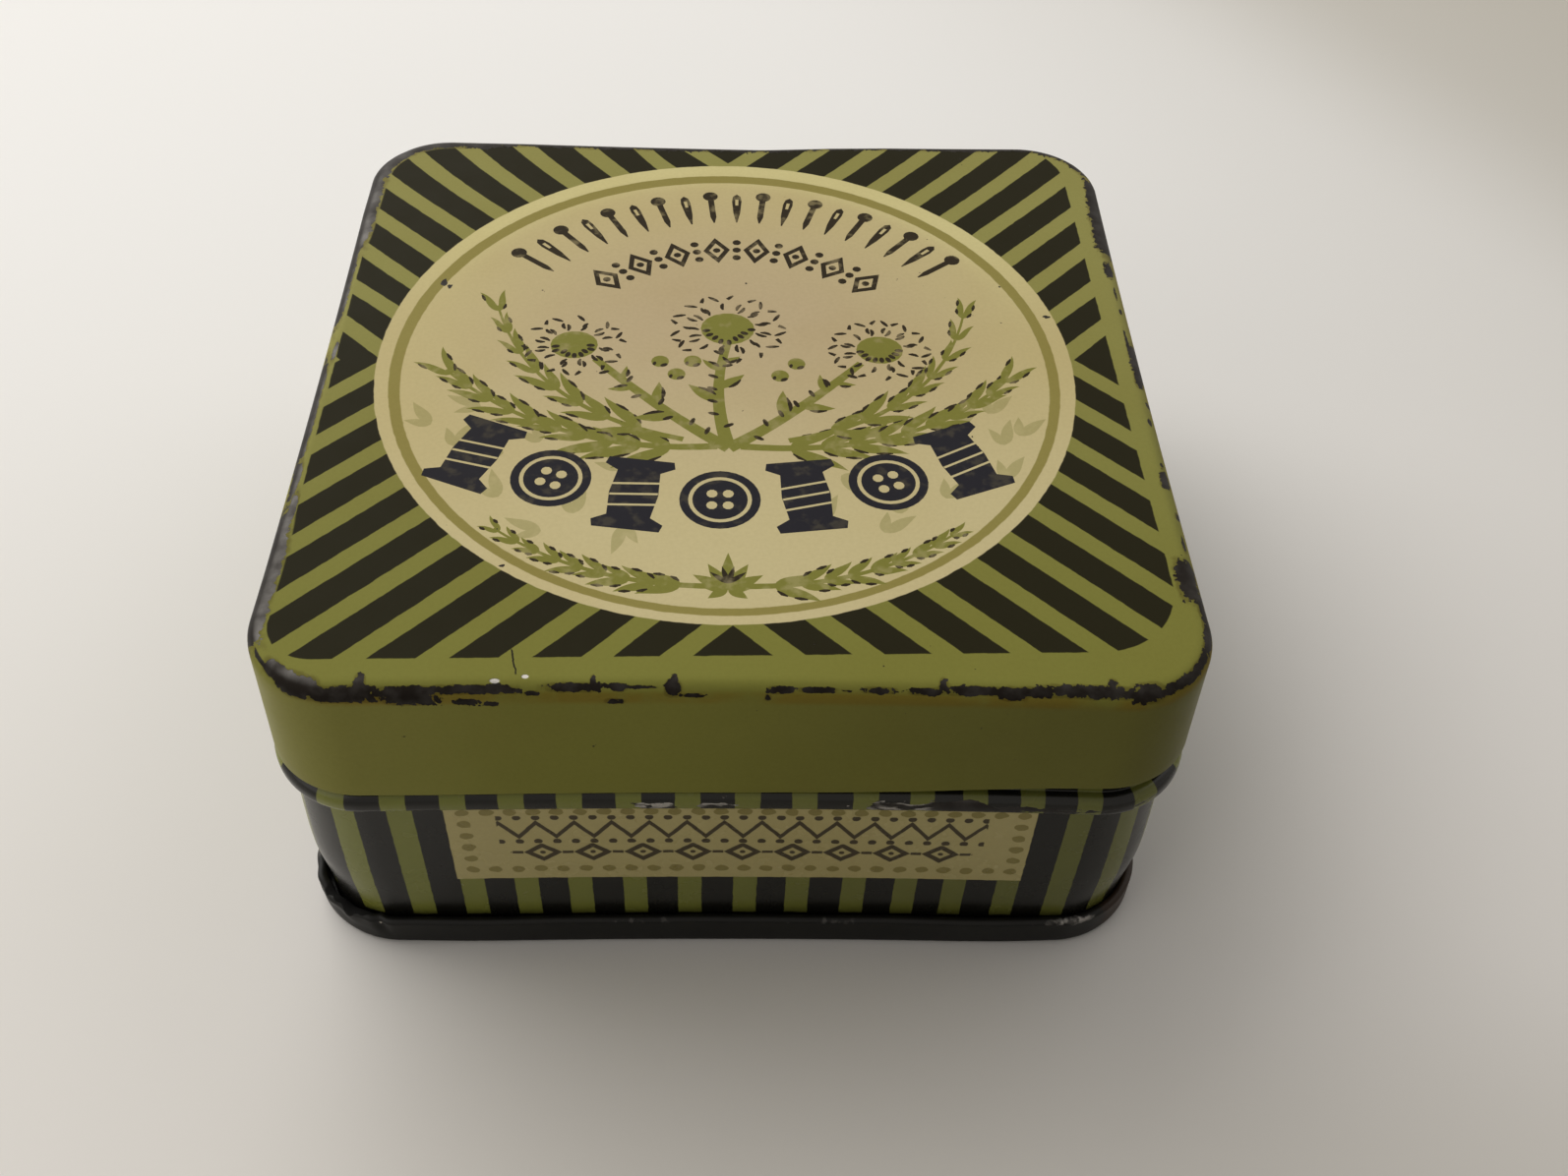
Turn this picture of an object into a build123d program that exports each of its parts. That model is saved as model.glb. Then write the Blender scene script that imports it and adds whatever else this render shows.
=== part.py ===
"""A small square slip-lid tin for pins and needles, in three pieces of tinplate.

The tin stands on Z = 0 with its middle on the Z axis.  X runs along the front, Y goes to the back.
Each piece is one sheet, bent to a section and carried round the same outline.  A section is drawn
as the middle line of the sheet, in two measures: how far outside the body's wall it lies, and how
high.  The outline is the outer face of the body's wall.
"""
import os
from math import atan2, cos, degrees, hypot, radians, sin, sqrt, tan

from build123d import *

# Driving dimensions, in millimetres.
BODY_WIDTH = 72.9        # outer face to outer face of the wall, at the corners
BODY_DEPTH = 72.9
CORNER_RADIUS = 6.9      # of the wall's outer face
FRONT_BOW = 0.45         # how far the front and the back are drawn in at their middle
SIDE_BOW = 0.20          # the same for the left and the right
HEIGHT = 35.7            # from the foot to the top of the lid
TINPLATE = 0.27          # thickness of every sheet

BEAD_TOP = 22.75         # the bead rolled into the wall, on which the lid stops
BEAD_HEIGHT = 2.3
BEAD_OUT = 1.15          # how far it stands proud of the wall
BEAD_CREST = 0.85        # bend at the crest of the bead, on the middle line
BEAD_ROOT = 0.25         # bend where the bead leaves the wall

MOUTH_ROOM = 1.0         # between the mouth of the body and the inside of the lid
HEM_DEPTH = 2.6          # edges folded inwards at the mouth and at the lid's rim
HEM_GAP = 0.10           # between the two leaves of a fold

LID_CLEARANCE = 0.38     # between the body's neck and the lid's folded edge
LID_REST_GAP = 0.10      # between the bead and the lid's edge
LID_EDGE = 1.3           # outer radius between the lid's top and its skirt
LID_FLARE = 0.45         # how much wider the skirt is at its lower edge, on each side

SEAM_HEIGHT = 3.4        # the double seam that holds the bottom plate
SEAM_GAP = 0.04          # between the leaves of the double seam
SEAM_GROOVE = 0.28       # open groove between the seam and the wall
SEAM_BEND = 0.30         # bends of the body's hook
FOOT_BEND = 0.42         # bends under the seam, on which the tin stands
HOOK_BITE = 0.35         # how far the plate's hook stays above the body's flange
PANEL_RISE = 2.6         # underside of the bottom panel above the foot
PANEL_BEND = 0.5

LAP_WIDTH = 4.0          # overlap of the body strip's two ends, at the back
LAP_SLIT = 0.15          # open slit between the two ends, seen from outside
LAP_GAP = 0.05           # solder between the two leaves
LAP_ROOT = 0.7           # width of the joggle that joins the inner leaf to its end
LAP_END = 1.2            # the inner leaf stops this far short of the seam and of the mouth's fold

HALF = TINPLATE / 2
LID_OUT = LID_CLEARANCE + 2 * TINPLATE + HEM_GAP      # outer face of the skirt at its lower edge
LID_LOW = BEAD_TOP + LID_REST_GAP                     # lower edge of the lid
MOUTH = HEIGHT - TINPLATE - MOUTH_ROOM                # upper edge of the body
HOOK_OUT = SEAM_GROOVE + TINPLATE + SEAM_GAP + HALF   # middle line of the body's hook
FLANGE = TINPLATE + SEAM_GAP + HALF                   # middle line of the body's flange
HEM_BEND = 0.49 * (TINPLATE + HEM_GAP)                # half the width of a fold: a half-round
HOOK_BEND = 0.49 * 2 * (TINPLATE + SEAM_GAP)


class Arc:
    """One arc of the outline: about centre, from angle start through sweep, both in radians."""

    def __init__(self, centre, radius, start, sweep):
        self.centre, self.radius, self.start, self.sweep = centre, radius, start, sweep
        self.outward = 1 if sweep > 0 else -1     # a bowed side has its centre outside the tin

    def point(self, share, offset=0.0):
        """The point at a share of the arc, moved outwards from the tin by offset."""
        angle = self.start + share * self.sweep
        reach = self.radius + self.outward * offset
        return Vector(self.centre[0] + reach * cos(angle), self.centre[1] + reach * sin(angle))

    def stretch(self, first, last):
        """The part of the arc between two shares of it."""
        return Arc(self.centre, self.radius, self.start + first * self.sweep,
                   (last - first) * self.sweep)

    def length(self):
        return abs(self.sweep) * self.radius


def outline():
    """The wall's outer face as eight tangent arcs, counter-clockwise: side, corner, side and so on."""
    corner_x = BODY_WIDTH / 2 - CORNER_RADIUS
    corner_y = BODY_DEPTH / 2 - CORNER_RADIUS
    # The side's centre lies outside, and the two radii add up to the distance between the centres.
    front = (corner_x**2 + FRONT_BOW**2) / (2 * FRONT_BOW)
    flank = (corner_y**2 + SIDE_BOW**2) / (2 * SIDE_BOW)
    front_centre = corner_y + sqrt(front**2 - corner_x**2)
    flank_centre = corner_x + sqrt(flank**2 - corner_y**2)
    sides = [((0, -front_centre), front), ((flank_centre, 0), flank),
             ((0, front_centre), front), ((-flank_centre, 0), flank)]
    corners = [(corner_x, -corner_y), (corner_x, corner_y),
               (-corner_x, corner_y), (-corner_x, -corner_y)]

    def bearing(a, b):
        return atan2(b[1] - a[1], b[0] - a[0])

    def turn(a, b):
        return (b - a + 3 * pi) % (2 * pi) - pi

    pi = radians(180)
    arcs = []
    for i, (centre, reach) in enumerate(sides):
        before, after, following = corners[i - 1], corners[i], sides[(i + 1) % 4][0]
        first, last = bearing(centre, before), bearing(centre, after)
        arcs.append(Arc(centre, reach - CORNER_RADIUS, first, turn(first, last)))
        first, last = bearing(after, centre), bearing(after, following)
        arcs.append(Arc(after, CORNER_RADIUS, first, turn(first, last)))
    return arcs


def bent_sheet(points, bends):
    """The section of a sheet from the corners of its middle line and the bend at each corner.

    Where two bends don't fit on the run between them, both are drawn in until they do.
    """
    path = [Vector(*p) for p in points]
    runs = [(b - a).normalized() for a, b in zip(path, path[1:])]
    lengths = [(b - a).length for a, b in zip(path, path[1:])]
    halves = [tan(radians(a.get_angle(b)) / 2) for a, b in zip(runs, runs[1:])]
    bends = list(bends)
    for i, length in enumerate(lengths):
        used = sum(bends[k] * halves[k] for k in (i - 1, i) if 0 <= k < len(bends))
        if used > 0.98 * length:
            for k in (i - 1, i):
                if 0 <= k < len(bends):
                    bends[k] *= 0.98 * length / used

    def face_line(side):
        """One face of the sheet: the middle line moved by half the thickness, mitred at its corners."""
        normals = [Vector(-run.Y, run.X) * side for run in runs]
        moved = [path[0] + normals[0] * HALF]
        radii = []
        for i, (one, two) in enumerate(zip(normals, normals[1:])):
            moved.append(path[i + 1] + (one + two) * (HALF / (1 + one.dot(two))))
            inner = one.dot(runs[i + 1]) > 0
            radii.append(bends[i] - HALF if inner else bends[i] + HALF)
        moved.append(path[-1] + normals[-1] * HALF)
        return FilletPolyline(*moved, radius=radii), moved[0], moved[-1]

    left, left_start, left_end = face_line(1)
    right, right_start, right_end = face_line(-1)
    ends = [Line(left_start, right_start), Line(left_end, right_end)]
    return make_face(left.edges() + right.edges() + ends)


def carried_round(section, arcs):
    """The solid that a section sweeps when it is carried along the arcs of the outline."""
    pieces = []
    for arc in arcs:
        start = arc.point(0)
        outward = (arc.point(0, 1) - start).normalized()
        upright = Plane(origin=start, x_dir=outward, z_dir=outward.cross(Vector(0, 0, 1)))
        axis = Axis((*arc.centre, 0), (0, 0, 1 if arc.sweep > 0 else -1))
        pieces.append(revolve(upright * section, axis, degrees(abs(arc.sweep))))
    return pieces


def panel(arcs, offset, low, high):
    """A flat plate with the outline moved outwards by offset."""
    edge = [ThreePointArc(*(arc.point(share, offset) for share in (0, 0.5, 1))) for arc in arcs]
    return extrude(Pos(0, 0, low) * make_face(edge), high - low)


def joined(pieces):
    return pieces[0].fuse(*pieces[1:]).solid()


def lid():
    """Top panel, rounded edge and flared skirt, with the skirt's lower edge folded inwards."""
    skirt = LID_OUT - HALF
    shoulder = skirt - LID_FLARE
    fold = skirt - TINPLATE - HEM_GAP
    lean = LID_FLARE / (HEIGHT - LID_LOW - TINPLATE)
    fold_end = fold - lean * (HEM_DEPTH - HALF)
    panel_edge = shoulder - 2 * LID_EDGE
    section = bent_sheet(
        [(panel_edge, HEIGHT - HALF), (shoulder, HEIGHT - HALF), (skirt, LID_LOW + HALF),
         (fold, LID_LOW + HALF), (fold_end, LID_LOW + HEM_DEPTH)],
        [LID_EDGE - HALF, HEM_BEND, HEM_BEND])
    return joined(carried_round(section, OUTLINE)
                  + [panel(OUTLINE, panel_edge, HEIGHT - TINPLATE, HEIGHT)])


def body_section():
    """Mouth folded inwards, neck, stop bead, wall, and the hook of the bottom seam."""
    wall = -HALF
    fold = wall - TINPLATE - HEM_GAP
    crest = wall + BEAD_OUT
    return bent_sheet(
        [(fold, MOUTH - HEM_DEPTH), (fold, MOUTH - HALF), (wall, MOUTH - HALF),
         (wall, BEAD_TOP - HALF), (crest, BEAD_TOP - HALF),
         (crest, BEAD_TOP - BEAD_HEIGHT + HALF), (wall, BEAD_TOP - BEAD_HEIGHT + HALF),
         (wall, FLANGE), (HOOK_OUT, FLANGE), (HOOK_OUT, SEAM_HEIGHT - 2 * TINPLATE - SEAM_GAP)],
        [HEM_BEND, HEM_BEND, BEAD_ROOT, BEAD_CREST, BEAD_CREST, BEAD_ROOT, SEAM_BEND, SEAM_BEND])


def lap_section(outer):
    """The wall's leaf at the lap: its outer face lies inside the wall's outer face by outer.

    The leaf follows the bead from the inside and stops short of both folded edges.
    """
    shift = outer + HALF
    crest = BEAD_OUT - shift
    return bent_sheet(
        [(-shift, MOUTH - HEM_DEPTH - LAP_END), (-shift, BEAD_TOP - shift), (crest, BEAD_TOP - shift),
         (crest, BEAD_TOP - BEAD_HEIGHT + shift), (-shift, BEAD_TOP - BEAD_HEIGHT + shift),
         (-shift, SEAM_HEIGHT + LAP_END)],
        [BEAD_ROOT + shift - HALF, BEAD_CREST - shift + HALF,
         BEAD_CREST - shift + HALF, BEAD_ROOT + shift - HALF])


def body_wall():
    """One strip bent round the outline.  Its ends lap at the back, one leaf behind the other."""
    back = OUTLINE[4]
    slit = LAP_SLIT / back.length() / 2
    lap = LAP_WIDTH / back.length()
    root = LAP_ROOT / back.length()
    strip = OUTLINE[:4] + [back.stretch(0, 0.5 - slit), back.stretch(0.5 + slit, 1)] + OUTLINE[5:]
    leaf = carried_round(lap_section(TINPLATE + LAP_GAP), [back.stretch(0.5 + slit - lap, 0.5 + slit + root)])
    joggle = carried_round(lap_section(TINPLATE / 2 + LAP_GAP), [back.stretch(0.5 + slit, 0.5 + slit + root)])
    return joined(carried_round(body_section(), strip) + leaf + joggle)


def bottom_plate():
    """Raised panel, a step down inside the wall, the foot, and the hook over the body's hook."""
    step = -TINPLATE - SEAM_GAP - HALF
    outside = HOOK_OUT + TINPLATE + SEAM_GAP
    hook = HOOK_OUT - TINPLATE - SEAM_GAP
    panel_edge = step - 2 * PANEL_BEND
    rise = PANEL_RISE + HALF
    section = bent_sheet(
        [(panel_edge, rise), (step, rise), (step, HALF), (outside, HALF),
         (outside, SEAM_HEIGHT - HALF), (hook, SEAM_HEIGHT - HALF), (hook, FLANGE + HALF + HOOK_BITE)],
        [PANEL_BEND, FOOT_BEND, FOOT_BEND, HOOK_BEND, HOOK_BEND])
    return joined(carried_round(section, OUTLINE)
                  + [panel(OUTLINE, panel_edge, PANEL_RISE, PANEL_RISE + TINPLATE)])


OUTLINE = outline()

PIECES = {"lid": lid, "body_wall": body_wall, "bottom_plate": bottom_plate}

os.makedirs("parts", exist_ok=True)
for name, make in PIECES.items():
    piece = make()
    piece.label = name
    export_step(piece, f"parts/{name}.step")
    size = piece.bounding_box().size
    print(f"{name}: {piece.volume:.1f} mm3, {size.X:.2f} x {size.Y:.2f} x {size.Z:.2f} mm")
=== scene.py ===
# %% [markdown]
# # A slip-lid tin for pins and needles
# The real thing is three sheets of printed tinplate: a lid, a wall that is one strip bent round and
# lapped at the back, and a bottom plate that is folded over the wall's foot. The plain solids come
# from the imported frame. Here each sheet is drawn again as a surface, from the same section and the
# same outline, so that it can carry print, wear and small dents.

import bmesh
import bpy
import numpy as np
from mathutils import Matrix, Vector
from mathutils.geometry import delaunay_2d_cdt


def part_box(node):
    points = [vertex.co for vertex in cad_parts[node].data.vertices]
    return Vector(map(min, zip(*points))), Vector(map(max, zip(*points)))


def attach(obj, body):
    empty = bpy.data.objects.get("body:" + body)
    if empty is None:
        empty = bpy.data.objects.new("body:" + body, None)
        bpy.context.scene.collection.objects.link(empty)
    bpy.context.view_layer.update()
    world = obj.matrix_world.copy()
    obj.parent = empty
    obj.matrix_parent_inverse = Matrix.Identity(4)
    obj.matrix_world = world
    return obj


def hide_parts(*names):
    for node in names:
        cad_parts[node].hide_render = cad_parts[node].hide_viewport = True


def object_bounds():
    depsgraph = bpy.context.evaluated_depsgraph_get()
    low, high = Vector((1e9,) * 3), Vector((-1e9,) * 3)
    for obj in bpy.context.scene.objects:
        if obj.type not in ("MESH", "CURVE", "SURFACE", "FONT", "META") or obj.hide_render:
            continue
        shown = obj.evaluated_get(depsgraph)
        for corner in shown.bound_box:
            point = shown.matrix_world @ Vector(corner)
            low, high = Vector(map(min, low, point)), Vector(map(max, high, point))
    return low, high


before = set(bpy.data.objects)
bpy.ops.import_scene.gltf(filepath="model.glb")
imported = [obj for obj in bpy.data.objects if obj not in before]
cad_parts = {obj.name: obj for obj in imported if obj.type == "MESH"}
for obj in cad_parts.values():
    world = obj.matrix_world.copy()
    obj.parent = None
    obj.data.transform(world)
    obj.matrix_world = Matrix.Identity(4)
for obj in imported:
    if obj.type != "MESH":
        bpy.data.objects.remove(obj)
cad_box = [list(corner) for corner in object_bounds()]
MM = 0.001
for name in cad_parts:
    low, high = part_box(name)
    print(name, "measures", (np.subtract(high, low) / MM).round(2), "mm")

# %% [markdown]
# ## The camera
# A tin is usually looked down on. The camera stands a hand's breadth in front of it and looks down by
# 48 degrees, through a lens about as long as the sensor is wide. The picture is turned by three
# degrees, so the camera's own axes are worked out as vectors and put into its matrix.

# %% Camera
EYE = (-0.94, -108.21, 126.59)
YAW, PITCH, ROLL = 0.0575, 0.8369, 0.0526
SENSOR, LENS = 36.0, 36.0135


def look(yaw, pitch, roll):
    """Right, up and forward: forward is turned by yaw about Z and lowered by pitch, and the other two
    are turned about it by roll."""
    forward = np.array([np.sin(yaw) * np.cos(pitch), np.cos(yaw) * np.cos(pitch), -np.sin(pitch)])
    level = np.array([np.cos(yaw), -np.sin(yaw), 0])
    rise = np.cross(level, forward)
    right = np.cos(roll) * level + np.sin(roll) * rise
    return right, np.cross(right, forward), forward


right, up, forward = look(YAW, PITCH, ROLL)
camera = bpy.data.objects.new("camera", bpy.data.cameras.new("camera"))
bpy.context.scene.collection.objects.link(camera)
camera.data.sensor_width, camera.data.lens = SENSOR, LENS
camera.data.clip_start = 0.005
turn = np.eye(4)
turn[:3, :3] = np.stack([right, up, -forward], 1)
turn[:3, 3] = np.array(EYE) * MM
camera.matrix_world = Matrix(turn)
bpy.context.scene.camera = camera
print("camera looks down by", round(np.degrees(PITCH), 1), "degrees")

# %% [markdown]
# ## A way to write materials
# Print on tin is geometry: stripes, rings and dots. Such a pattern is a formula, and it stays readable
# if it is written as one. `Wire` wraps a socket, so that `+`, `-` or `*` on it adds a Math node, and
# `Finish` is one material, and all of its other nodes come from one method.

# %% Wire and Finish


class Wire:
    """The output of a node. Arithmetic on it adds Math nodes."""

    def __init__(self, finish, socket):
        self.finish, self.socket = finish, socket

    def maths(self, operation, *values):
        """A Math node of these values, which are wires or numbers."""
        return self.finish.node("ShaderNodeMath", {"operation": operation}, dict(enumerate(values)))

    def __add__(self, other):
        return self.maths("ADD", self, other)

    def __sub__(self, other):
        return self.maths("SUBTRACT", self, other)

    def __rsub__(self, other):
        return self.maths("SUBTRACT", other, self)

    def __mul__(self, other):
        return self.maths("MULTIPLY", self, other)

    def __truediv__(self, other):
        return self.maths("DIVIDE", self, other)

    def __abs__(self):
        return self.maths("ABSOLUTE", self)

    __radd__, __rmul__ = __add__, __mul__


class Finish:
    """A material with one Principled shader."""

    def __init__(self, name):
        self.material = bpy.data.materials.new(name)
        self.material.use_nodes = True
        self.tree = self.material.node_tree
        self.tree.nodes.clear()
        self.shader = self.tree.nodes.new("ShaderNodeBsdfPrincipled")
        end = self.tree.nodes.new("ShaderNodeOutputMaterial")
        self.tree.links.new(self.shader.outputs[0], end.inputs[0])

    def node(self, kind, settings=(), sockets=(), out=0):
        """A node of a type, with its settings made first, and then the values or links of its sockets."""
        made = self.tree.nodes.new(kind)
        for name, value in dict(settings).items():
            setattr(made, name, value)
        for key, value in dict(sockets).items():
            self.feed(made.inputs[key], value)
        return Wire(self, made.outputs[out])

    def feed(self, socket, value):
        """Links a wire to a socket, or sets a plain value on it."""
        if isinstance(value, Wire):
            self.tree.links.new(value.socket, socket)
        else:
            socket.default_value = value

    def surface(self, **sockets):
        """Feeds the shader, by socket names with _ for a blank."""
        for name, value in sockets.items():
            self.feed(self.shader.inputs[name.replace("_", " ")], value)
        return self.material

    def place(self):
        """Object coordinates in millimetres, as a vector and as x, y and z."""
        metres = self.node("ShaderNodeTexCoord", out="Object")
        mm = self.node("ShaderNodeVectorMath", {"operation": "SCALE"}, {0: metres, "Scale": 1 / MM})
        return mm, *(self.node("ShaderNodeSeparateXYZ", (), {0: mm}, out=i) for i in range(3))

    def join(self, x, y):
        """A vector from two numbers."""
        return self.node("ShaderNodeCombineXYZ", (), {0: x, 1: y})

    def stored(self, name, out="Fac"):
        """An attribute of the mesh."""
        return self.node("ShaderNodeAttribute", {"attribute_name": name}, out=out)

    def noise(self, at, size, detail, roughness=0.5):
        """Noise from 0 to 1, about 0.5, with lumps about size millimetres across."""
        sockets = {"Vector": at, "Scale": 1 / size, "Detail": detail, "Roughness": roughness}
        return self.node("ShaderNodeTexNoise", (), sockets)

    def rise(self, value, low, high):
        """0 below low, 1 above high, and smooth between. With low above high it falls."""
        return self.node("ShaderNodeMapRange", {"interpolation_type": "SMOOTHSTEP"},
                         {"Value": value, "From Min": low, "From Max": high})

    def mix(self, share, one, two, how="MIX"):
        """Colour one, with colour two laid over it by share."""
        settings = {"data_type": "RGBA", "blend_type": how}
        return self.node("ShaderNodeMix", settings, {0: share, 6: one, 7: two}, out=2)

    def bump(self, height, depth, normal=None):
        """A relief of depth millimetres from a height of 0 to 1."""
        sockets = {"Height": height, "Distance": depth * MM, "Strength": 1.0}
        return self.node("ShaderNodeBump", (), sockets | ({"Normal": normal} if normal else {}))


def most(first, *others):
    """The greatest of some wires and numbers, of which the first is a wire."""
    for other in others:
        first = first.maths("MAXIMUM", first, other)
    return first


def least(first, *others):
    """The least of them."""
    for other in others:
        first = first.maths("MINIMUM", first, other)
    return first


def length(x, y):
    """The distance from the origin, by Pythagoras."""
    square = x * x + y * y
    return square.maths("SQRT", square)


def centred(value, pitch):
    """How far value is from the nearest multiple of pitch, from minus half of pitch to plus half."""
    return value.maths("WRAP", value, -pitch / 2, pitch / 2)


def colour(red, green, blue):
    """A linear colour as a socket takes it."""
    return (red, green, blue, 1.0)


print("finishes are written with", Wire.__name__, "and", Finish.__name__)

# %% [markdown]
# ## The stage
# A pale floor and three soft lamps. The large one hangs behind the tin and to the left, as a window
# would, and a weaker one stands behind it to the right, so the lid is bright and the front lies in its
# own shade. A small lamp and the world fill that shade. The world is dim as a source of light, but
# seen directly or in a shiny surface it is a plain pale grey. The floor is pale paint with painted light
# at the back and painted shade far to the right and in front, and it keeps the tin's shadow.

# %% Floor
FLOOR_RADIUS, FLOOR_SIDES = 4.0, 96
FLOOR_CLOUDS = colour(0.735, 0.695, 0.645), colour(0.79, 0.75, 0.705)
FLOOR_PAINTED_LIGHT, FLOOR_PAINTED_SHADE = colour(0.855, 0.835, 0.805), colour(0.50, 0.465, 0.40)


def floor_finish():
    """Pale paint in wide soft clouds, with painted light at the back and painted shade to the right and in
    front.
    """
    f = Finish("floor_paint_with_painted_shade")
    mm, x, y, _ = f.place()
    tone = f.mix(f.noise(mm, 60, 3), *FLOOR_CLOUDS)
    # Painted light: the floor is made lighter towards the back.
    tone = f.mix(f.rise(y - x * 0.2, -90.0, 110.0), tone, FLOOR_PAINTED_LIGHT)
    # Painted shade: the floor is made darker far to the right and in front of the tin.
    away = x + y * 0.6
    dim = f.rise(away, 70.0, 240.0) * 0.6 + f.rise(away, 140.0, 190.0) * 0.33
    dim = dim + f.rise(y, -38.0, -62.0) * f.rise(x, -60.0, 5.0) * 0.36
    return f.surface(Base_Color=f.mix(dim, tone, FLOOR_PAINTED_SHADE), Roughness=0.7, Specular_IOR_Level=0.2)


def disc_sheet(name, radius, steps):
    """A flat round sheet at Z = 0: one ring of points at radius and a point in the middle."""
    a = np.linspace(0, 2 * np.pi, steps, endpoint=False)
    ring = np.stack([radius * np.cos(a), radius * np.sin(a), 0 * a], 1)
    k = np.arange(steps)
    faces = np.stack([k, (k + 1) % steps, 0 * k + steps], 1)
    mesh = bpy.data.meshes.new(name)
    mesh.from_pydata(np.vstack([ring, [[0, 0, 0]]]), [], faces.tolist())
    made = bpy.data.objects.new(name, mesh)
    bpy.context.scene.collection.objects.link(made)
    return made


floor = disc_sheet("floor", FLOOR_RADIUS, FLOOR_SIDES)
floor.data.materials.append(floor_finish())
print("floor:", 2 * FLOOR_RADIUS, "m across")

# %% Lamps and world
ROOM_LIGHT, ROOM_LOOK = (colour(1.0, 0.99, 0.96), 0.145), (colour(0.78, 0.74, 0.69), 1.0)


def lamp(name, at, aim, size, watts, tint):
    """A square lamp of size metres at a point in millimetres, turned to face another."""
    made = bpy.data.objects.new(name, bpy.data.lights.new(name, "AREA"))
    made.data.size, made.data.energy, made.data.color = size, watts, tint
    facing = Vector(np.subtract(aim, at)).to_track_quat("-Z", "Y").to_matrix().to_4x4()
    made.matrix_world = Matrix.Translation(Vector(at) * MM) @ facing
    bpy.context.scene.collection.objects.link(made)


lamp("window", (-460, 460, 600), (10, -10, 0), 1.0, 8.6, (1.0, 0.99, 0.97))
lamp("doorway", (430, 340, 430), (0, 0, 15), 0.8, 1.3, (1.0, 0.99, 0.97))
lamp("room", (-240, -170, 180), (-10, 0, 15), 0.25, 0.21, (1.0, 0.98, 0.95))
world = bpy.data.worlds.new("studio")
bpy.context.scene.world = world
world.use_nodes = True
tree = world.node_tree
light, look_of_it = tree.nodes["Background"], tree.nodes.new("ShaderNodeBackground")
for background, (tint, strength) in ((light, ROOM_LIGHT), (look_of_it, ROOM_LOOK)):
    background.inputs["Color"].default_value = tint
    background.inputs["Strength"].default_value = strength
ray = tree.nodes.new("ShaderNodeLightPath")
direct = ray.outputs["Is Camera Ray"]
for kind in ("Is Glossy Ray", "Is Transmission Ray"):
    either = tree.nodes.new("ShaderNodeMath")
    either.operation = "MAXIMUM"
    tree.links.new(direct, either.inputs[0])
    tree.links.new(ray.outputs[kind], either.inputs[1])
    direct = either.outputs[0]
choose = tree.nodes.new("ShaderNodeMixShader")
for k, source in enumerate((direct, light.outputs[0], look_of_it.outputs[0])):
    tree.links.new(source, choose.inputs[k])
tree.links.new(choose.outputs[0], tree.nodes["World Output"].inputs[0])
bpy.context.scene.view_settings.view_transform = "Standard"

# %% [markdown]
# ## The outline of the tin
# Seen from above the tin is a square with round corners, and its sides are drawn in a little at their
# middle, as thin sheet is after rolling. Eight tangent arcs give that. A station on it is found by its
# distance round the tin, in millimetres, from the middle of the front towards the right. A point of a
# section is then that station's foot, moved straight outwards.

# %% Outline
SIDE, CORNER_RADIUS = 72.9, 6.9
FRONT_BOW, SIDE_BOW = 0.45, 0.20
HEIGHT, TINPLATE = round(cad_box[1][2] / MM, 2), 0.27
HALF = TINPLATE / 2
FLAT_STEP, CORNER_STEP = 1.2, 0.45


def outline_arcs():
    """Centre, radius, start and sweep of the arcs, from the middle of the front anticlockwise. A bowed
    side's centre lies outside the tin, where its radius and the corner's add up, so it sweeps back."""
    c = SIDE / 2 - CORNER_RADIUS
    reach = [(c * c + b * b) / (2 * b) for b in (FRONT_BOW, SIDE_BOW)]
    far = [c + np.sqrt(r * r - c * c) for r in reach]
    sides = [((0, -far[0]), reach[0]), ((far[1], 0), reach[1]),
             ((0, far[0]), reach[0]), ((-far[1], 0), reach[1])]
    corners = [(c, -c), (c, c), (-c, c), (-c, -c)]
    half = np.arctan2(c, far[0] - c), np.arctan2(c, far[1] - c)
    arcs = []
    for i, (centre, r) in enumerate(sides):
        middle, h = np.pi / 2 * (i + 1), half[i % 2]
        arcs.append((centre, r - CORNER_RADIUS, middle + h, -2 * h))
        arcs.append((corners[i], CORNER_RADIUS, middle - np.pi - h, np.pi / 2 + h + half[(i + 1) % 2]))
    centre, r, start, sweep = arcs[0]
    return [(centre, r, start + sweep / 2, sweep / 2)] + arcs[1:] + [(centre, r, start, sweep / 2)]


ARCS = outline_arcs()
CENTRES, RADII, STARTS, SWEEPS = (np.array([arc[k] for arc in ARCS]) for k in range(4))
MARKS = np.concatenate([[0], np.cumsum(RADII * np.abs(SWEEPS))])
ROUND = MARKS[-1]


def station(s):
    """Foot and outward direction at distances s round the tin."""
    s = np.asarray(s, float) % ROUND
    k = np.clip(np.searchsorted(MARKS, s, side="right") - 1, 0, len(ARCS) - 1)
    a = STARTS[k] + (s - MARKS[k]) / RADII[k] * np.sign(SWEEPS[k])
    way = np.stack([np.cos(a), np.sin(a)], -1)
    return CENTRES[k] + RADII[k][..., None] * way, way * np.sign(SWEEPS[k])[..., None]


def ticks(start, end, fine, dense=0.3):
    """Distances from start up to end, closer together in the corners and in the fine stretch."""
    marks = np.unique(np.concatenate([[start, end], fine, *((MARKS + n * ROUND) for n in (-1, 0, 1))]))
    marks = marks[(marks >= start) & (marks <= end)]
    out = []
    for a, b in zip(marks[:-1], marks[1:]):
        middle = (a + b) / 2
        step = CORNER_STEP if (np.searchsorted(MARKS, middle % ROUND) - 1) % 2 else FLAT_STEP
        step = dense if fine[0] < middle < fine[1] else step
        out.append(np.linspace(a, b, max(2, round((b - a) / step)), endpoint=False))
    return np.concatenate(out)


print("round the tin:", round(ROUND, 1), "mm, corners at", MARKS.round(1))

# %% [markdown]
# ## A bent sheet
# Every edge of a tin is a fold, because a cut edge would be sharp. So a section is not drawn as a
# shape: it is the middle line of the sheet, with a bend at each corner, and half the thickness is
# added on both sides. Carried round the outline it becomes the whole piece, folded edges and all.

# %% Bent section
TO_THE_END = 99  # more than any section is long
EVEN = ((TO_THE_END, 1.0),)


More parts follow.
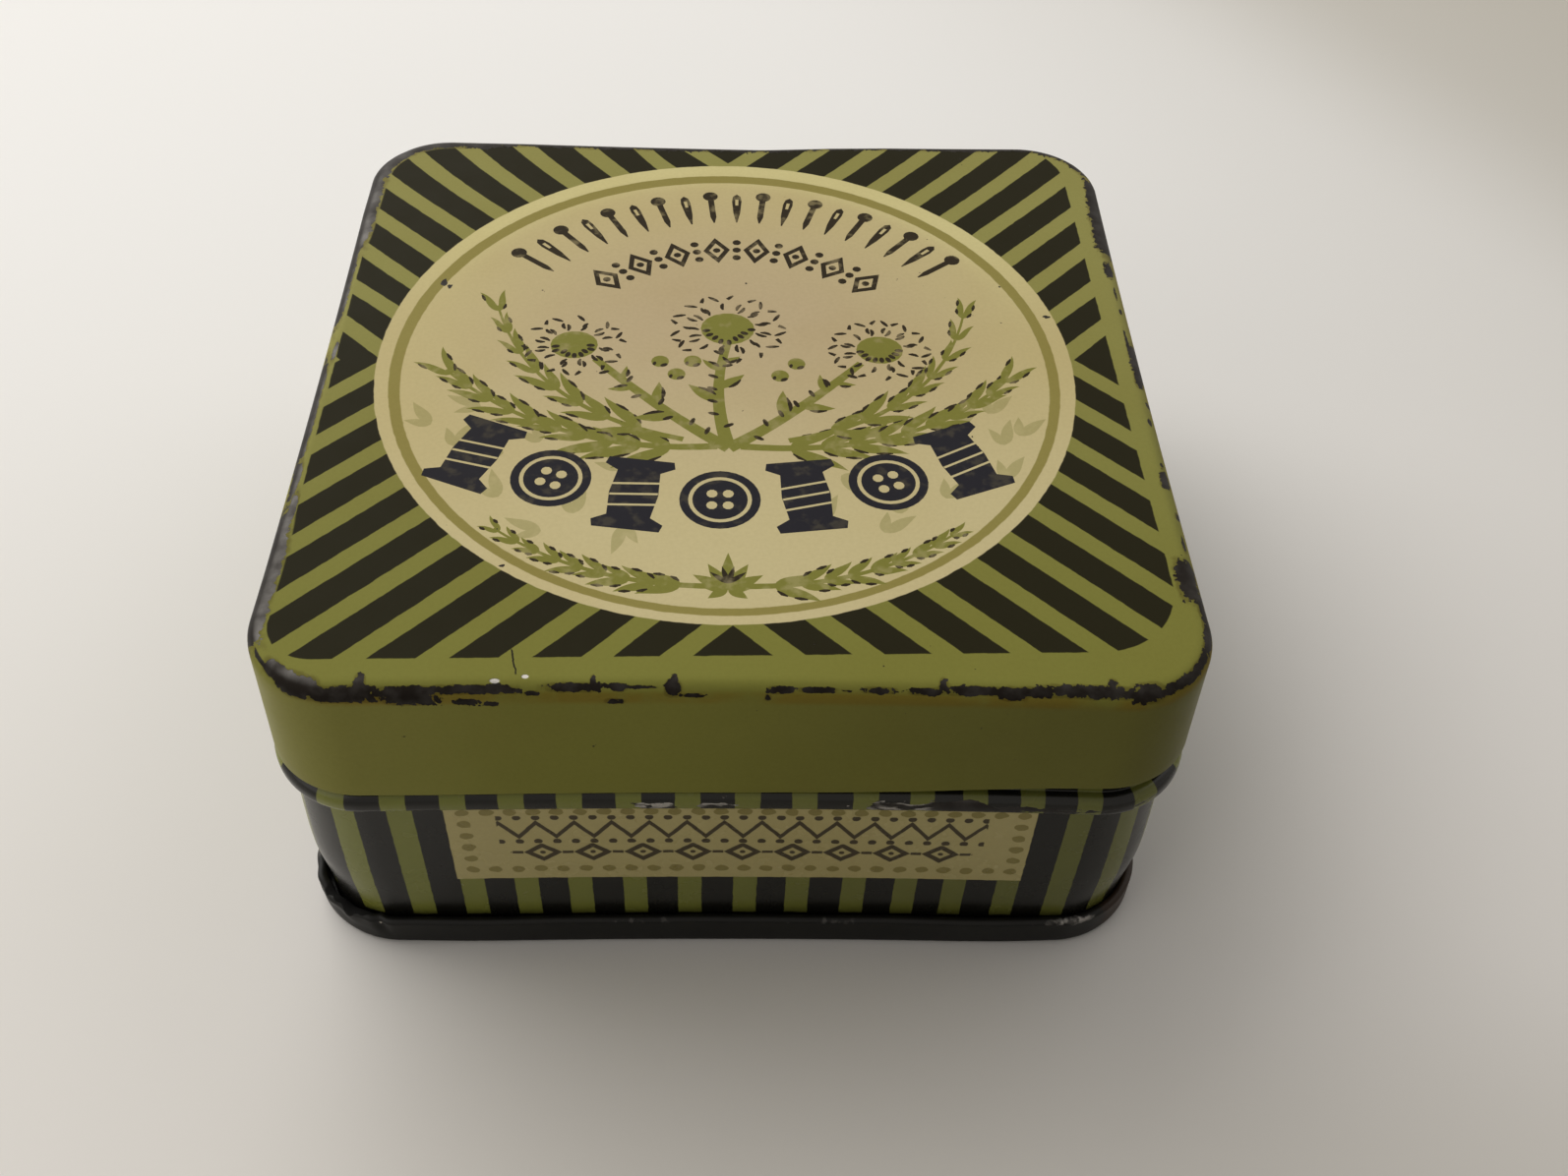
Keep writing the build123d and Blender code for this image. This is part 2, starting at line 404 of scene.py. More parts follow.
def bent_section(points, bends, spacing=(EVEN, EVEN), steps=10):
    """The two faces of a sheet from its middle line, given as (outwards, up), and a bend radius for
    each corner. A corner of a face lies on the mitre, and an arc there turns from one run to the next.
    Bends that don't fit on a run are made smaller."""
    path, bends = np.array(points, float), list(bends)
    runs = np.diff(path, axis=0)
    sizes = np.hypot(*runs.T)
    runs /= sizes[:, None]
    crossed = runs[:-1, 0] * runs[1:, 1] - runs[:-1, 1] * runs[1:, 0]
    turns = np.arctan2(crossed, (runs[:-1] * runs[1:]).sum(1))
    for i, size in enumerate(sizes):
        beside = [k for k in (i - 1, i) if 0 <= k < len(bends)]
        used = sum(bends[k] * np.tan(abs(turns[k]) / 2) for k in beside)
        for k in beside:
            bends[k] *= min(1, 0.98 * size / used) if used else 1
    faces = []
    for side, gap in zip((1, -1), spacing):
        normals = np.stack([-runs[:, 1], runs[:, 0]], 1) * side
        line = [path[0] + normals[0] * HALF]
        for k, turn_here in enumerate(turns):
            corner = path[k + 1] + (normals[k] + normals[k + 1]) * HALF / (1 + normals[k] @ normals[k + 1])
            radius = bends[k] - HALF * side * np.sign(turn_here)
            start = corner - runs[k] * radius * np.tan(abs(turn_here) / 2)
            inward = np.array([-runs[k][1], runs[k][0]]) * np.sign(turn_here)
            a = np.linspace(0, turn_here, steps)[:, None]
            swung = -inward * np.cos(a) - np.array([-inward[1], inward[0]]) * np.sin(a)
            line.extend(start + radius * (inward + swung))
        line.append(path[-1] + normals[-1] * HALF)
        faces.append(spread(np.array(line), gap))
    return faces


def spread(line, spacing):
    """The line with points added. Spacing is a row of pairs, a distance from the start and the widest
    gap allowed up to there."""
    d = along(line)
    at = []
    for a, b in zip(d, d[1:]):
        cuts = [a] + [far for far, _ in spacing if a < far < b] + [b]
        for p, q in zip(cuts, cuts[1:]):
            gap = next(gap for far, gap in spacing if (p + q) / 2 < far)
            at.append(np.linspace(p, q, max(1, int(np.ceil((q - p) / gap))), endpoint=False))
    at = np.append(np.concatenate(at), d[-1])
    return np.stack([np.interp(at, d, line[:, k]) for k in (0, 1)], 1)


def along(line):
    """The distance of each point of a line from its start."""
    return np.concatenate([[0], np.cumsum(np.hypot(*np.diff(line, axis=0).T))])


print("sheet:", TINPLATE, "mm thick")

# %% Carried round the outline


def carried(section, s):
    """A grid, section points by stations: foot plus outward direction times the first measure, with the
    second as height."""
    foot, out = station(s)
    section = np.asarray(section, float)
    flat = foot[None] + section[:, :1, None] * out[None]
    return np.concatenate([flat, np.broadcast_to(section[:, 1:, None], flat.shape[:2] + (1,))], -1)


def quads(rows, columns, ring_rows=False, ring_columns=True):
    """Corner numbers of a grid's quads. A ring joins the last row or column to the first."""
    r = np.arange(rows if ring_rows else rows - 1)[:, None]
    c = np.arange(columns if ring_columns else columns - 1)[None]
    a, b = r * columns, (r + 1) % rows * columns
    d = (c + 1) % columns
    return np.stack([a + c, b + c, b + d, a + d], -1).reshape(-1, 4)


def band(grid, finish=0, **stored):
    """A closed band as a part for piece, from rows of points round the tin, with values for each point."""
    rows, columns = grid.shape[:2]
    values = {name: np.broadcast_to(value, (rows, columns)).ravel() for name, value in stored.items()}
    return {"points": grid.reshape(-1, 3), "faces": quads(rows, columns), "finish": finish, "stored": values}


def rings_to(edge, middle, count):
    """Rings between two closed lines of the same number of points, each a straight blend of both."""
    t = np.linspace(0, 1, count)[:, None, None]
    return edge[None] * (1 - t) + middle[None] * t


def pressed(grid, s, press, z):
    """The grid with its points pressed inwards by millimetres, and with new heights."""
    out = station(s)[1]
    return np.stack([grid[..., 0] - press * out[:, 0], grid[..., 1] - press * out[:, 1], z], -1)


def offset(grid, s):
    """How far outside the outline each point of a grid lies."""
    foot, out = station(s)
    return ((grid[..., :2] - foot) * out).sum(-1)


def near(s, place, reach):
    """A bell round a place on the outline: 1 there, and falling off within reach."""
    gap = (np.asarray(s) - place + ROUND / 2) % ROUND - ROUND / 2
    return np.exp(-((gap / reach) ** 2))


def by_place(s, table):
    """Linear interpolation of a table of (distance round the tin, value), joined up at the end."""
    at, value = np.array(table, float).T
    return np.interp(np.asarray(s) % ROUND, at % ROUND, value, period=ROUND)


def limited(value):
    """A value kept between 0 and 1."""
    return np.clip(value, 0, 1)


print("a corner spreads over", round(MARKS[2] - MARKS[1], 1), "mm")

# %% [markdown]
# ## Making the mesh
# The parts of a piece are computed as arrays. Points that lie on each other are joined, so that the
# surface is closed, and the normals are made to point outwards after that.

# %% Piece
JOIN_WITHIN, SHARP_FROM = 2e-5, 50.0


def joined(parts):
    """All parts as one surface: points, faces, and each face's finish and ink. Points that lie on each
    other become one, the first of them, and faces that this has shrunk to a line are left out."""
    points = np.vstack([p["points"] for p in parts])
    starts = np.cumsum([0] + [len(p["points"]) for p in parts])
    keys = np.round(points / JOIN_WITHIN).astype(np.int64)
    _, keep, same = np.unique(keys, axis=0, return_index=True, return_inverse=True)
    same = same.reshape(-1)
    faces, numbers, inks = [], [], []
    for p, start in zip(parts, starts):
        found = [list(dict.fromkeys(row)) for row in same[np.asarray(p["faces"]) + start].tolist()]
        whole = [k for k, face in enumerate(found) if len(face) > 2]
        faces += [found[k] for k in whole]
        numbers += [p.get("finish", 0)] * len(whole)
        inks.append(p["ink"][whole] if "ink" in p else np.zeros((len(whole), 4)))
    return points[keep], faces, numbers, np.vstack(inks), keep


def store(mesh, name, kind, domain, field, values):
    """An attribute of the mesh with its values."""
    made = mesh.attributes.new(name, kind, domain)
    made.data.foreach_set(field, np.asarray(values, np.float32).ravel())


def turn_outwards(mesh):
    """All faces turned outwards, and edges kept sharp from SHARP_FROM degrees."""
    work = bmesh.new()
    work.from_mesh(mesh)
    bmesh.ops.recalc_face_normals(work, faces=work.faces)
    work.to_mesh(mesh)
    work.free()
    mesh.polygons.foreach_set("use_smooth", np.ones(len(mesh.polygons), bool))
    mesh.set_sharp_from_angle(angle=np.radians(SHARP_FROM))
    mesh.update()


def piece(name, body, replaced, parts, finishes):
    """A mesh from parts, each a dict of points in mm, faces, the finish's number, and attributes by name."""
    points, faces, numbers, inks, keep = joined(parts)
    mesh = bpy.data.meshes.new(name)
    mesh.from_pydata(points * MM, [], faces)
    mesh.polygons.foreach_set("material_index", np.array(numbers, np.int32))
    for finish in finishes:
        mesh.materials.append(finish)
    for field in sorted({k for p in parts for k in p.get("stored", {})}):
        values = [np.broadcast_to(p.get("stored", {}).get(field, 0.0), len(p["points"])) for p in parts]
        store(mesh, field, "FLOAT", "POINT", "value", np.concatenate(values)[keep])
    if any("ink" in p for p in parts):
        store(mesh, "ink", "FLOAT_COLOR", "FACE", "color", inks)
    turn_outwards(mesh)
    made = bpy.data.objects.new(name, mesh)
    bpy.context.scene.collection.objects.link(made)
    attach(made, body)
    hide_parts(replaced)
    print(name, len(faces), "faces, from", points.min(0).round(2), "to", points.max(0).round(2), "mm")


print("pieces are joined where points lie within", JOIN_WITHIN, "mm, and sharp from", SHARP_FROM, "degrees")

# %% [markdown]
# ## The drawing on the lid
# The lid carries a light disc with a drawing in four inks: daisies and leafy twigs in olive with dark
# touches, pins and needles above them, and a garland of bobbins and buttons below. Ink has no
# thickness, so it is not laid on top as a piece. Each motif is an outline, and the lid's own sheet is
# cut along all outlines, which keeps every edge sharp however close one looks.

# %% Brushes


def turned(shape, angle, at=(0, 0)):
    """A flat shape turned anticlockwise by an angle in degrees, then moved."""
    a = np.radians(angle)
    return shape @ np.array([[np.cos(a), np.sin(a)], [-np.sin(a), np.cos(a)]]) + at


def leaf(long, wide, sweep=0.0, steps=9):
    """A pointed leaf from the origin along x. Half of its width is a sine of the way along, fullest
    before the middle, and its spine is lifted by sweep times a squared sine."""
    t = np.linspace(0, 1, steps)
    half = wide / 2 * np.sin(np.pi * t**0.75)
    spine = sweep * np.sin(np.pi * t / 2) ** 2
    low, high = np.stack([long * t, spine - half], 1), np.stack([long * t, spine + half], 1)
    return np.vstack([low, high[-2:0:-1]])


def dot(radius, steps=14, squash=1.0):
    """A round dot, flattened by squash."""
    a = np.linspace(0, 2 * np.pi, steps, endpoint=False)
    return radius * np.stack([np.cos(a), squash * np.sin(a)], 1)


def stroke(line, width):
    """A line widened to both sides by half of width at each point."""
    line = np.asarray(line, float)
    way = np.gradient(line, axis=0)
    way /= np.linalg.norm(way, axis=1, keepdims=True)
    side = np.stack([-way[:, 1], way[:, 0]], 1) * np.broadcast_to(width, len(line))[:, None] / 2
    return np.vstack([line - side, (line + side)[::-1]])


def bow(start, pull, end, steps=16):
    """A quadratic curve from start to end, drawn towards pull."""
    t = np.linspace(0, 1, steps)[:, None]
    a, b, c = (np.asarray(p, float) for p in (start, pull, end))
    return (1 - t) ** 2 * a + 2 * t * (1 - t) * b + t**2 * c


def pick(line, share):
    """The point at a share of a line, and the direction there in degrees."""
    k = min(int(share * (len(line) - 1)), len(line) - 2)
    step = line[k + 1] - line[k]
    return line[k] + (share * (len(line) - 1) - k) * step, np.degrees(np.arctan2(step[1], step[0]))


def fan(radius, angle):
    """The point at an angle in degrees from straight up, on a circle round the origin."""
    return radius * np.array([np.sin(np.radians(angle)), np.cos(np.radians(angle))])


drawing = []  # (ink, outline), each painted over the ones before
hand = np.random.default_rng(7)


def paint(ink, *shapes):
    """Adds outlines to the drawing in an ink."""
    drawing.extend((ink, np.asarray(shape, float)) for shape in shapes)


print("brushes ready")

# %% [markdown]
# A twig is a stroke with leaves in pairs. A daisy is a ring of petals drawn as broken loops, so that
# only their edges are inked. Small random changes keep the motifs from looking stamped.

# %% Twigs and daisies
TOUCH, LEAF_LINE, PETAL_LINE = [0.14, 0.34, 0.14], [0.14, 0.34, 0.40, 0.28, 0.14], [0.16, 0.36, 0.36, 0.16]
SPRIGS = ((-26, -8, 118), (-23.8, -10.6, 60), (-19.4, -16.6, 100), (-24.6, -13.4, -30), (-19.5, -11.4, 140),
          (-13.2, -18.4, 70), (-9.6, -13.2, 110), (-9, -19.6, 250), (7, -19, 60), (8.8, -13.6, -60),
          (13.6, -18, 75), (17.4, -16.2, 40), (23, -9.6, 70), (24.4, -8.4, 35), (19.6, -7, 60),
          (22, -5.6, 40), (-22, -5.6, 150), (22.6, -13.8, 50), (-16.6, -10, 95), (12, -20.2, 30),
          (-15.6, -20.4, 150))
ROOT, FOOT = (-0.6, -10.4), (-0.6, -26.6)
FLOWERS = (((-0.8, 3.5), (-2.4, -3.5), (-0.8, 5.6), 5.7, 2.2, 13, 0.92),
           ((-12.6, 1), (-6, -6.5), (-14.6, 2.9), 5.0, 1.9, 12, 0.90),
           ((11.2, 1), (4.8, -6.5), (13.0, 2.9), 5.0, 1.9, 12, 0.90))
BUDS = (-6.8, 0.8), (-5.3, -0.9), (5.4, 0.8), (3.9, -0.9), (-3.9, 0.9)


def twig(line, width, pairs, long, wide, spread=32):
    """An olive stroke that thins towards its end, and pairs of leaves with dark touches on one edge."""
    paint("olive", stroke(line, np.linspace(width, width * 0.35, len(line))))
    for share in np.linspace(0.14, 0.97, pairs):
        at, heading = pick(line, share)
        for side in (1, -1):
            grow = (1.05 - 0.45 * share) * hand.uniform(0.85, 1.15)
            shape = leaf(long * grow, wide * grow, side * -0.16 * long)
            angle = heading + side * spread * hand.uniform(0.8, 1.25)
            paint("olive", turned(shape, angle, at))
            edge = turned(shape[:9] if side < 0 else shape[8:], angle, at)
            for k in (1, 4):
                if hand.random() < 0.72:
                    paint("line", stroke(edge[k:k + 3], TOUCH))


def daisy(at, reach, heart, petals, squash):
    """Petals as far out as reach round an olive heart, with a dark dotted arc on the heart."""
    for k in range(petals):
        loop = leaf(reach - heart, 2.1, 0, 11) + [heart, 0]
        loop = turned(loop, 360 * k / petals + hand.uniform(-4, 4)) * [1, squash] + at
        loop = np.vstack([loop, loop[:1]])
        for first, last in ((1, 5), (6, 10), (11, 14), (15, 19)):
            if hand.random() < 0.84:
                paint("line", stroke(loop[first:last], PETAL_LINE[:last - first]))
    paint("olive", dot(heart * 1.12, 18, squash) + at)
    for angle in np.arange(190, 360, 21):
        place = heart * hand.uniform(0.72, 1.0) * turned(np.array([1, 0]), angle) * [1, squash]
        paint("line", turned(dot(0.40, 8, 0.6), angle, at + place))


def flower_stem(end, pull):
    """A stem from the common root, with four outlined leaves and short dark strokes along it."""
    stem = bow(ROOT, pull, end)
    paint("olive", stroke(stem, np.linspace(1.25, 0.75, len(stem))))
    for share, side in ((0.42, 1), (0.55, -1), (0.72, 1), (0.8, -1)):
        at, heading = pick(stem, share)
        shape = leaf(4.3 * (1.25 - share), 1.6 * (1.2 - share), 0.3 * side)
        paint("olive", turned(shape, heading + side * 42, at))
        paint("line", stroke(turned(shape[2:7], heading + side * 42, at), LEAF_LINE))
    for share in np.linspace(0.2, 0.9, 7):
        at, heading = pick(stem, share)
        side = hand.choice((-1, 1))
        beside = at + turned(np.array([0, 0.55 * side]), heading)
        paint("line", turned(dot(0.52, 8, 0.42), heading + 70 * side, beside))


for x, y, a in SPRIGS:
    paint("pale", turned(leaf(3.4, 1.1, 0.3), a, (x, y)), turned(leaf(2.4, 0.9, -0.2), a + 55, (x, y)))
for side in (-1, 1):
    twig(bow((side - 0.6, -10.2), (side * 15.5, -11.6), (side * 25 - 0.6, -0.8), 18), 0.8, 10, 5.6, 1.25)
    twig(bow((side * 4.5, -9.4), (side * 18, -6), (side * 21.6 - 0.4, 8.4), 16), 0.6, 8, 4.8, 1.1)
for end, pull, *_ in FLOWERS:
    flower_stem(end, pull)
for _, _, *head in FLOWERS:
    daisy(*head)
for x, y in BUDS:
    paint("olive", dot(0.8) + (x, y))
    paint("line", turned(dot(0.38, 8, 0.6), 30, (x + 0.35, y - 0.5)))
    paint("line", turned(dot(0.28, 8, 0.6), 80, (x - 0.5, y - 0.3)))
for side in (-1, 1):
    line = bow((side * 0.8 - 0.6, -26.2), (side * 11 - 0.6, -26.4), (side * 18.6 - 0.8, -20.2), 16)
    twig(line, 0.6, 9, 3.5, 0.95, 34)
paint("olive", *(turned(leaf(4 if a == 90 else 3.2, 1.1), a, FOOT) for a in (90, 30, 150, 60, 120)))
paint("line", *(turned(leaf(1.9, 0.46), a, (-0.6, -25.9)) for a in (75, 105, 40, 140)))
paint("olive", *(turned(leaf(1.9, 0.9), a, (-0.6, -26.4)) for a in (215, 325, 180, 0)))
print(len(drawing), "outlines so far")

# %% [markdown]
# Pins and needles stand in a fan, heads outwards. Below them runs a braid of lozenges and knots. The
# garland is darkest: bobbins wound with thread and four-hole buttons, hung along a shallow arc.

# %% Pins, braid and garland
PIN_FOOT, PIN_HEAD, BRAID = 22.1, 26.6, 17.6
GARLAND_CENTRE, GARLAND = np.array([-1.3, 27.2]), 43.8
CHIPS = (-27.3, 11.6, 0.62), (-26.7, 11.1, 0.36), (28.9, 8.0, 0.36), (-18.3, -24.3, 0.26), (0.9, 12.4, 0.14)
pin = np.array([[-0.06, 0], [0.06, 0], [0.30, 1.0], [0.30, 4.2], [-0.30, 4.2], [-0.30, 1.0]])
needle = np.array([[-0.06, 0], [0.06, 0], [0.34, 1.6], [0.48, 3.6], [0.38, 4.4],
                   [0, 4.8], [-0.38, 4.4], [-0.48, 3.6], [-0.34, 1.6]])
eye = np.array([[-0.14, 2.9], [0.14, 2.9], [0.16, 3.9], [-0.16, 3.9]])
for k, angle in enumerate(np.linspace(-51.5, 51.5, 19)):
    at = fan(PIN_FOOT, angle)
    if k % 2:
        paint("line", turned(needle, -angle, at))
        paint("cream", turned(eye, -angle, at))
    else:
        paint("line", turned(pin, -angle, at), dot(0.76, 14) + fan(PIN_HEAD, angle))
lozenge = np.array([[0, -2.0], [1.3, 0], [0, 2.0], [-1.3, 0]])
for k, angle in enumerate(np.linspace(-44, 44, 15)):
    at = fan(BRAID, angle)
    if k % 2:
        paint("line", *(dot(0.42, 9) + fan(BRAID + d, angle) for d in (-1.2, 0, 1.2)))
    else:
        paint("line", turned(lozenge, -angle, at))
        paint("cream", turned(lozenge * 0.56, -angle, at))
        paint("line", dot(0.38, 8) + at)
half_bobbin = np.array([[0, -4.1], [2.75, -4.1], [2.95, -3.3], [1.8, -2.6], [2.05, 0],
                        [1.8, 2.6], [2.95, 3.3], [2.75, 4.1], [0, 4.1]])
bobbin = np.vstack([half_bobbin, half_bobbin[-2:0:-1] * [-1, 1]])
thread = np.array([[-1.98, -0.25], [1.98, 0.25], [1.98, 0.48], [-1.98, -0.02]])
for k, angle in enumerate(np.linspace(-28.0, 28.0, 7)):
    at = GARLAND_CENTRE - fan(GARLAND, -angle)
    if k % 2:
        for radius, ink in ((3.35, "navy"), (2.62, "cream"), (2.28, "navy")):
            paint(ink, dot(radius, 32) + at)
        holes = [turned(np.array([0.95, 0]), a + angle) for a in (45, 135, 225, 315)]
        paint("cream", *(dot(0.46, 10) + at + hole for hole in holes))
    else:
        paint("navy", turned(bobbin, angle * 0.8, at))
        paint("cream", *(turned(thread + [0, h], angle * 0.8, at) for h in (-1.4, -0.15, 1.1)))
for x, y, size in CHIPS:
    torn = dot(size, 9, 0.7) * hand.uniform(0.6, 1.25, 9)[:, None]
    paint("chip", turned(torn, hand.uniform(0, 180), (x, y)))
print(len(drawing), "outlines with", sum(len(shape) for _, shape in drawing), "points")

# %% [markdown]
# ## Cutting the print into the sheet
# A constrained triangulation takes all outlines at once and returns triangles that never cross one.
# Each triangle also knows which outlines it lies in, and the last one painted gives its ink. A coarse
# grid of extra points lets the panel keep its slight hollow.

# %% The printed disc
INKS = {"cream": (0, 0, 0, 0), "pale": (0.42, 0, 0, 0), "olive": (1, 0, 0, 0), "line": (0, 1, 0, 0),
        "navy": (0, 0, 1, 0), "chip": (0, 0, 0, 1)}
DISC_CENTRE, PATCH_RADIUS = np.array([-0.75, 0.85]), 31.4
GRID_REACH, GRID_STEP, GRID_MARGIN, GRID_SHIFT, CUT_WITHIN = 30, 2.5, 1.2, 0.013, 1e-5
HOLLOW_REACH, HOLLOW_DEPTH = 34, 0.06


def hollow(x, y):
    """How far the lid's panel lies under its highest plane: a shallow dish with two soft waves in it,
    all fading out towards the edge."""
    calm = limited(1 - (np.hypot(x, y) / HOLLOW_REACH) ** 4)
    wide, narrow = np.sin(x / 7.0 + 0.6) * np.cos(y / 9.0), np.sin(y / 5.0 + x / 11.0)
    return calm * (HOLLOW_DEPTH + 0.03 * wide + 0.02 * narrow)


def printed_disc(rim):
    """The patch inside the closed line rim as one part for piece, with the ink of each triangle."""
    shapes = [rim] + [shape for _, shape in drawing]
    shapes = [shape if turning(shape) > 0 else shape[::-1] for shape in shapes]
    inks = np.array([INKS["cream"]] + [INKS[ink] for ink, _ in drawing])
    starts = np.cumsum([0] + [len(shape) for shape in shapes])
    steps = np.arange(-GRID_REACH, GRID_REACH + 1, GRID_STEP)
    grid = np.stack(np.meshgrid(steps, steps), -1).reshape(-1, 2) + DISC_CENTRE
    grid = grid[np.hypot(*(grid - DISC_CENTRE).T) < PATCH_RADIUS - GRID_MARGIN] + GRID_SHIFT
    points = np.vstack([*shapes, grid])
    rings = [list(range(a, b)) for a, b in zip(starts, starts[1:])]
    corners = [Vector(p) for p in points]
    found, _, faces, sources, _, inside = delaunay_2d_cdt(corners, [], rings, 1, CUT_WITHIN, True)
    flat = np.array(found, float)
    source = np.array([s[0] if s else -1 for s in sources])
    flat[source >= 0] = points[source[source >= 0]]
    last = np.array([max(ids) if ids else 0 for ids in inside])
    height = HEIGHT - hollow(*flat.T)
    return {"points": np.column_stack([flat, height]), "faces": np.array(faces), "ink": inks[last]}


def turning(shape):
    """Twice the area of an outline, positive if it runs anticlockwise."""
    x, y = shape.T
    return (x * np.roll(y, -1) - y * np.roll(x, -1)).sum()


print("panel hollow at the middle:", round(float(hollow(0.0, 0.0)), 3), "mm")

# %% [markdown]
# ## The lid
# The lid is drawn from one blank: a flat panel, a rounded edge, and a skirt that flares by less than
# half a millimetre so that it slips over the neck. Its lower edge is folded inwards. Wear shows on the
# rounded edge first, so the amount of it is stored there, by distance round the tin.

# %% Lid
MOUTH_ROOM, HEM_DEPTH, HEM_GAP = 1.0, 2.6, 0.10
LID_CLEARANCE, LID_LOW, LID_EDGE, LID_FLARE = 0.38, 22.85, 1.3, 0.45
MOUTH = HEIGHT - TINPLATE - MOUTH_ROOM
HEM_BEND = 0.49 * (TINPLATE + HEM_GAP)
LID_SPACING = ((5.2, 0.22), (TO_THE_END, 1.4)), ((TO_THE_END, 1.6),)
BORDER_RINGS, PANEL_RINGS = 7, 14
SCAR_EDGE = 0.86
SCARS = ((-36.0, 1.2, -0.22, 0.16), (-34.2, 1.3, -0.45, 0.62), (-32.2, 1.6, -0.20, 1.00),
         (-28.6, 3.0, 0.12, 0.66), (-27.5, 0.35, -0.95, 0.65), (-23.9, 1.9, 0.55, 0.62),
         (-24.2, 2.6, -0.05, 0.42), (-19.8, 3.3, -0.17, 0.34), (-16.5, 0.7, -0.05, 0.22),
         (-15.0, 0.5, 0.15, 0.17), (-19.9, 0.80, 0.92, 0.32), (-18.0, 0.45, 1.15, 0.22),
         (-12.0, 1.9, -0.28, 0.36), (-10.5, 0.22, -0.85, 0.45), (-8.6, 0.50, -0.28, 0.32),
         (-6.9, 1.1, -0.30, 0.13), (-4.6, 0.60, -0.25, 0.62), (-4.5, 0.25, -0.90, 0.50),
         (-3.2, 0.75, 0.32, 0.17), (-8.9, 0.75, 0.88, 0.30), (2.4, 0.25, 0.50, 0.30),
         (3.4, 0.95, -0.14, 0.28), (6.1, 1.35, -0.17, 0.22), (8.3, 0.3, -0.12, 0.10),
         (10.7, 1.25, -0.20, 0.24), (14.2, 1.2, -0.18, 0.28), (15.5, 0.35, -0.70, 0.60),
         (17.8, 2.6, -0.30, 0.36), (20.7, 1.0, -0.14, 0.52), (22.6, 1.3, -0.32, 0.40),
         (26.5, 3.6, -0.48, 0.52), (28.2, 0.35, -1.10, 0.60), (30.9, 1.15, -0.42, 0.85),
         (34.6, 4.0, -0.26, 0.40), (40.2, 3.4, -0.22, 0.50), (44.8, 2.2, -0.95, 1.00),
         (49.0, 0.9, -0.40, 0.18), (52.2, 0.4, -0.15, 0.40), (56.3, 1.0, -0.55, 0.48),
         (58.2, 0.3, -0.45, 0.20), (63.6, 0.5, -0.50, 0.20), (66.0, 0.4, 0.0, 0.40),
         (69.2, 1.1, -0.55, 0.40), (71.6, 2.6, -0.10, 0.75), (73.8, 2.4, -0.78, 0.13),
         (79.0, 0.35, -0.60, 0.18), (81.6, 0.9, -0.70, 0.12), (85.5, 1.3, -0.80, 0.44),
         (92.6, 5.2, -0.45, 1.00), (97.8, 3.2, -0.35, 0.85), (102.9, 1.3, -0.15, 0.90),
         (114.5, 12.5, -0.52, 0.70), (-127, 27, -0.15, 1.0), (-106.5, 9.5, -0.50, 1.15),
         (-98.2, 2.8, -0.10, 1.0), (-93.4, 6.8, -0.15, 1.25), (-81.8, 6.8, 0.0, 0.70),
         (-63.6, 7.0, -0.02, 0.66), (-55.2, 2.0, -0.40, 0.45), (-44.8, 7.2, -0.15, 1.20),
         (-52.0, 1.6, -0.9, 0.3), (-71.5, 1.2, -0.85, 0.2))
LID_LIFT = ((0, 0.0), (8, 0.12), (14, 0.40), (19, 0.85), (25, 1.35), (30, 1.60), (35, 1.60), (41, 1.2),
            (50, 0.6), (64, 0.1), (90, 0.0), (200, 0.0), (238, 0.10), (247, 0.22), (256, 0.0))
LID_KNOCK = ((0, 0), (124, 0), (130, 0.2), (137, 0.75), (162, 0.75), (170, 1.0), (175, 0.95), (180, 0.45),
             (186, 0.15), (200, 0.15), (234, 0.15), (244, 0.0))


def shape_lid(grid, s):
    """The lower edge is bent up where the lift says so, the more the lower a point lies, and the skirt
    is pressed in a little, in waves round the tin. At the back the edge is knocked in above the mouth."""
    x, y, z = np.moveaxis(grid, -1, 0)
    low = limited((HEIGHT - z) / (HEIGHT - LID_LOW))
    press = low * (0.05 + 0.05 * np.sin(s / 11.0 + 1.0)) + 0.03 * low * (1 - low) * (1 + np.sin(s / 4.1))
    press = press + by_place(s, LID_KNOCK) * limited((z - MOUTH + 0.4) / 1.5)
    height = z + by_place(s, LID_LIFT) * low**2 - hollow(x, y) * limited(z - HEIGHT + LID_EDGE)
    return pressed(grid, s, press, height)


def lid_worn(past, s):
    """How worn the lid's edge is: each scar is a soft patch with a place round the tin, half a length, a
    place down from the crest and half a height. Past is the distance down from the crest."""
    centre, half, fall, tall = np.array(SCARS).T[:, :, None, None]
    side = abs((s - centre + ROUND / 2) % ROUND - ROUND / 2) / (half / SCAR_EDGE)
    return (1.3 * np.exp(-side**3 - (abs(past[:, None] - fall) / (tall / SCAR_EDGE)) ** 3)).max(0)


def lid_section():
    """The outer and the inner face of the rounded edge, the skirt and its fold."""
    skirt = LID_CLEARANCE + 2 * TINPLATE + HEM_GAP - HALF
    shoulder, fold = skirt - LID_FLARE, skirt - TINPLATE - HEM_GAP
    fold_end = fold - LID_FLARE / (HEIGHT - LID_LOW - TINPLATE) * (HEM_DEPTH - HALF)
    panel = shoulder - 2 * LID_EDGE
    points = [(panel, HEIGHT - HALF), (shoulder, HEIGHT - HALF), (skirt, LID_LOW + HALF),
              (fold, LID_LOW + HALF), (fold_end, LID_LOW + HEM_DEPTH)]
    return bent_section(points, [LID_EDGE - HALF, HEM_BEND, HEM_BEND], LID_SPACING, 8)


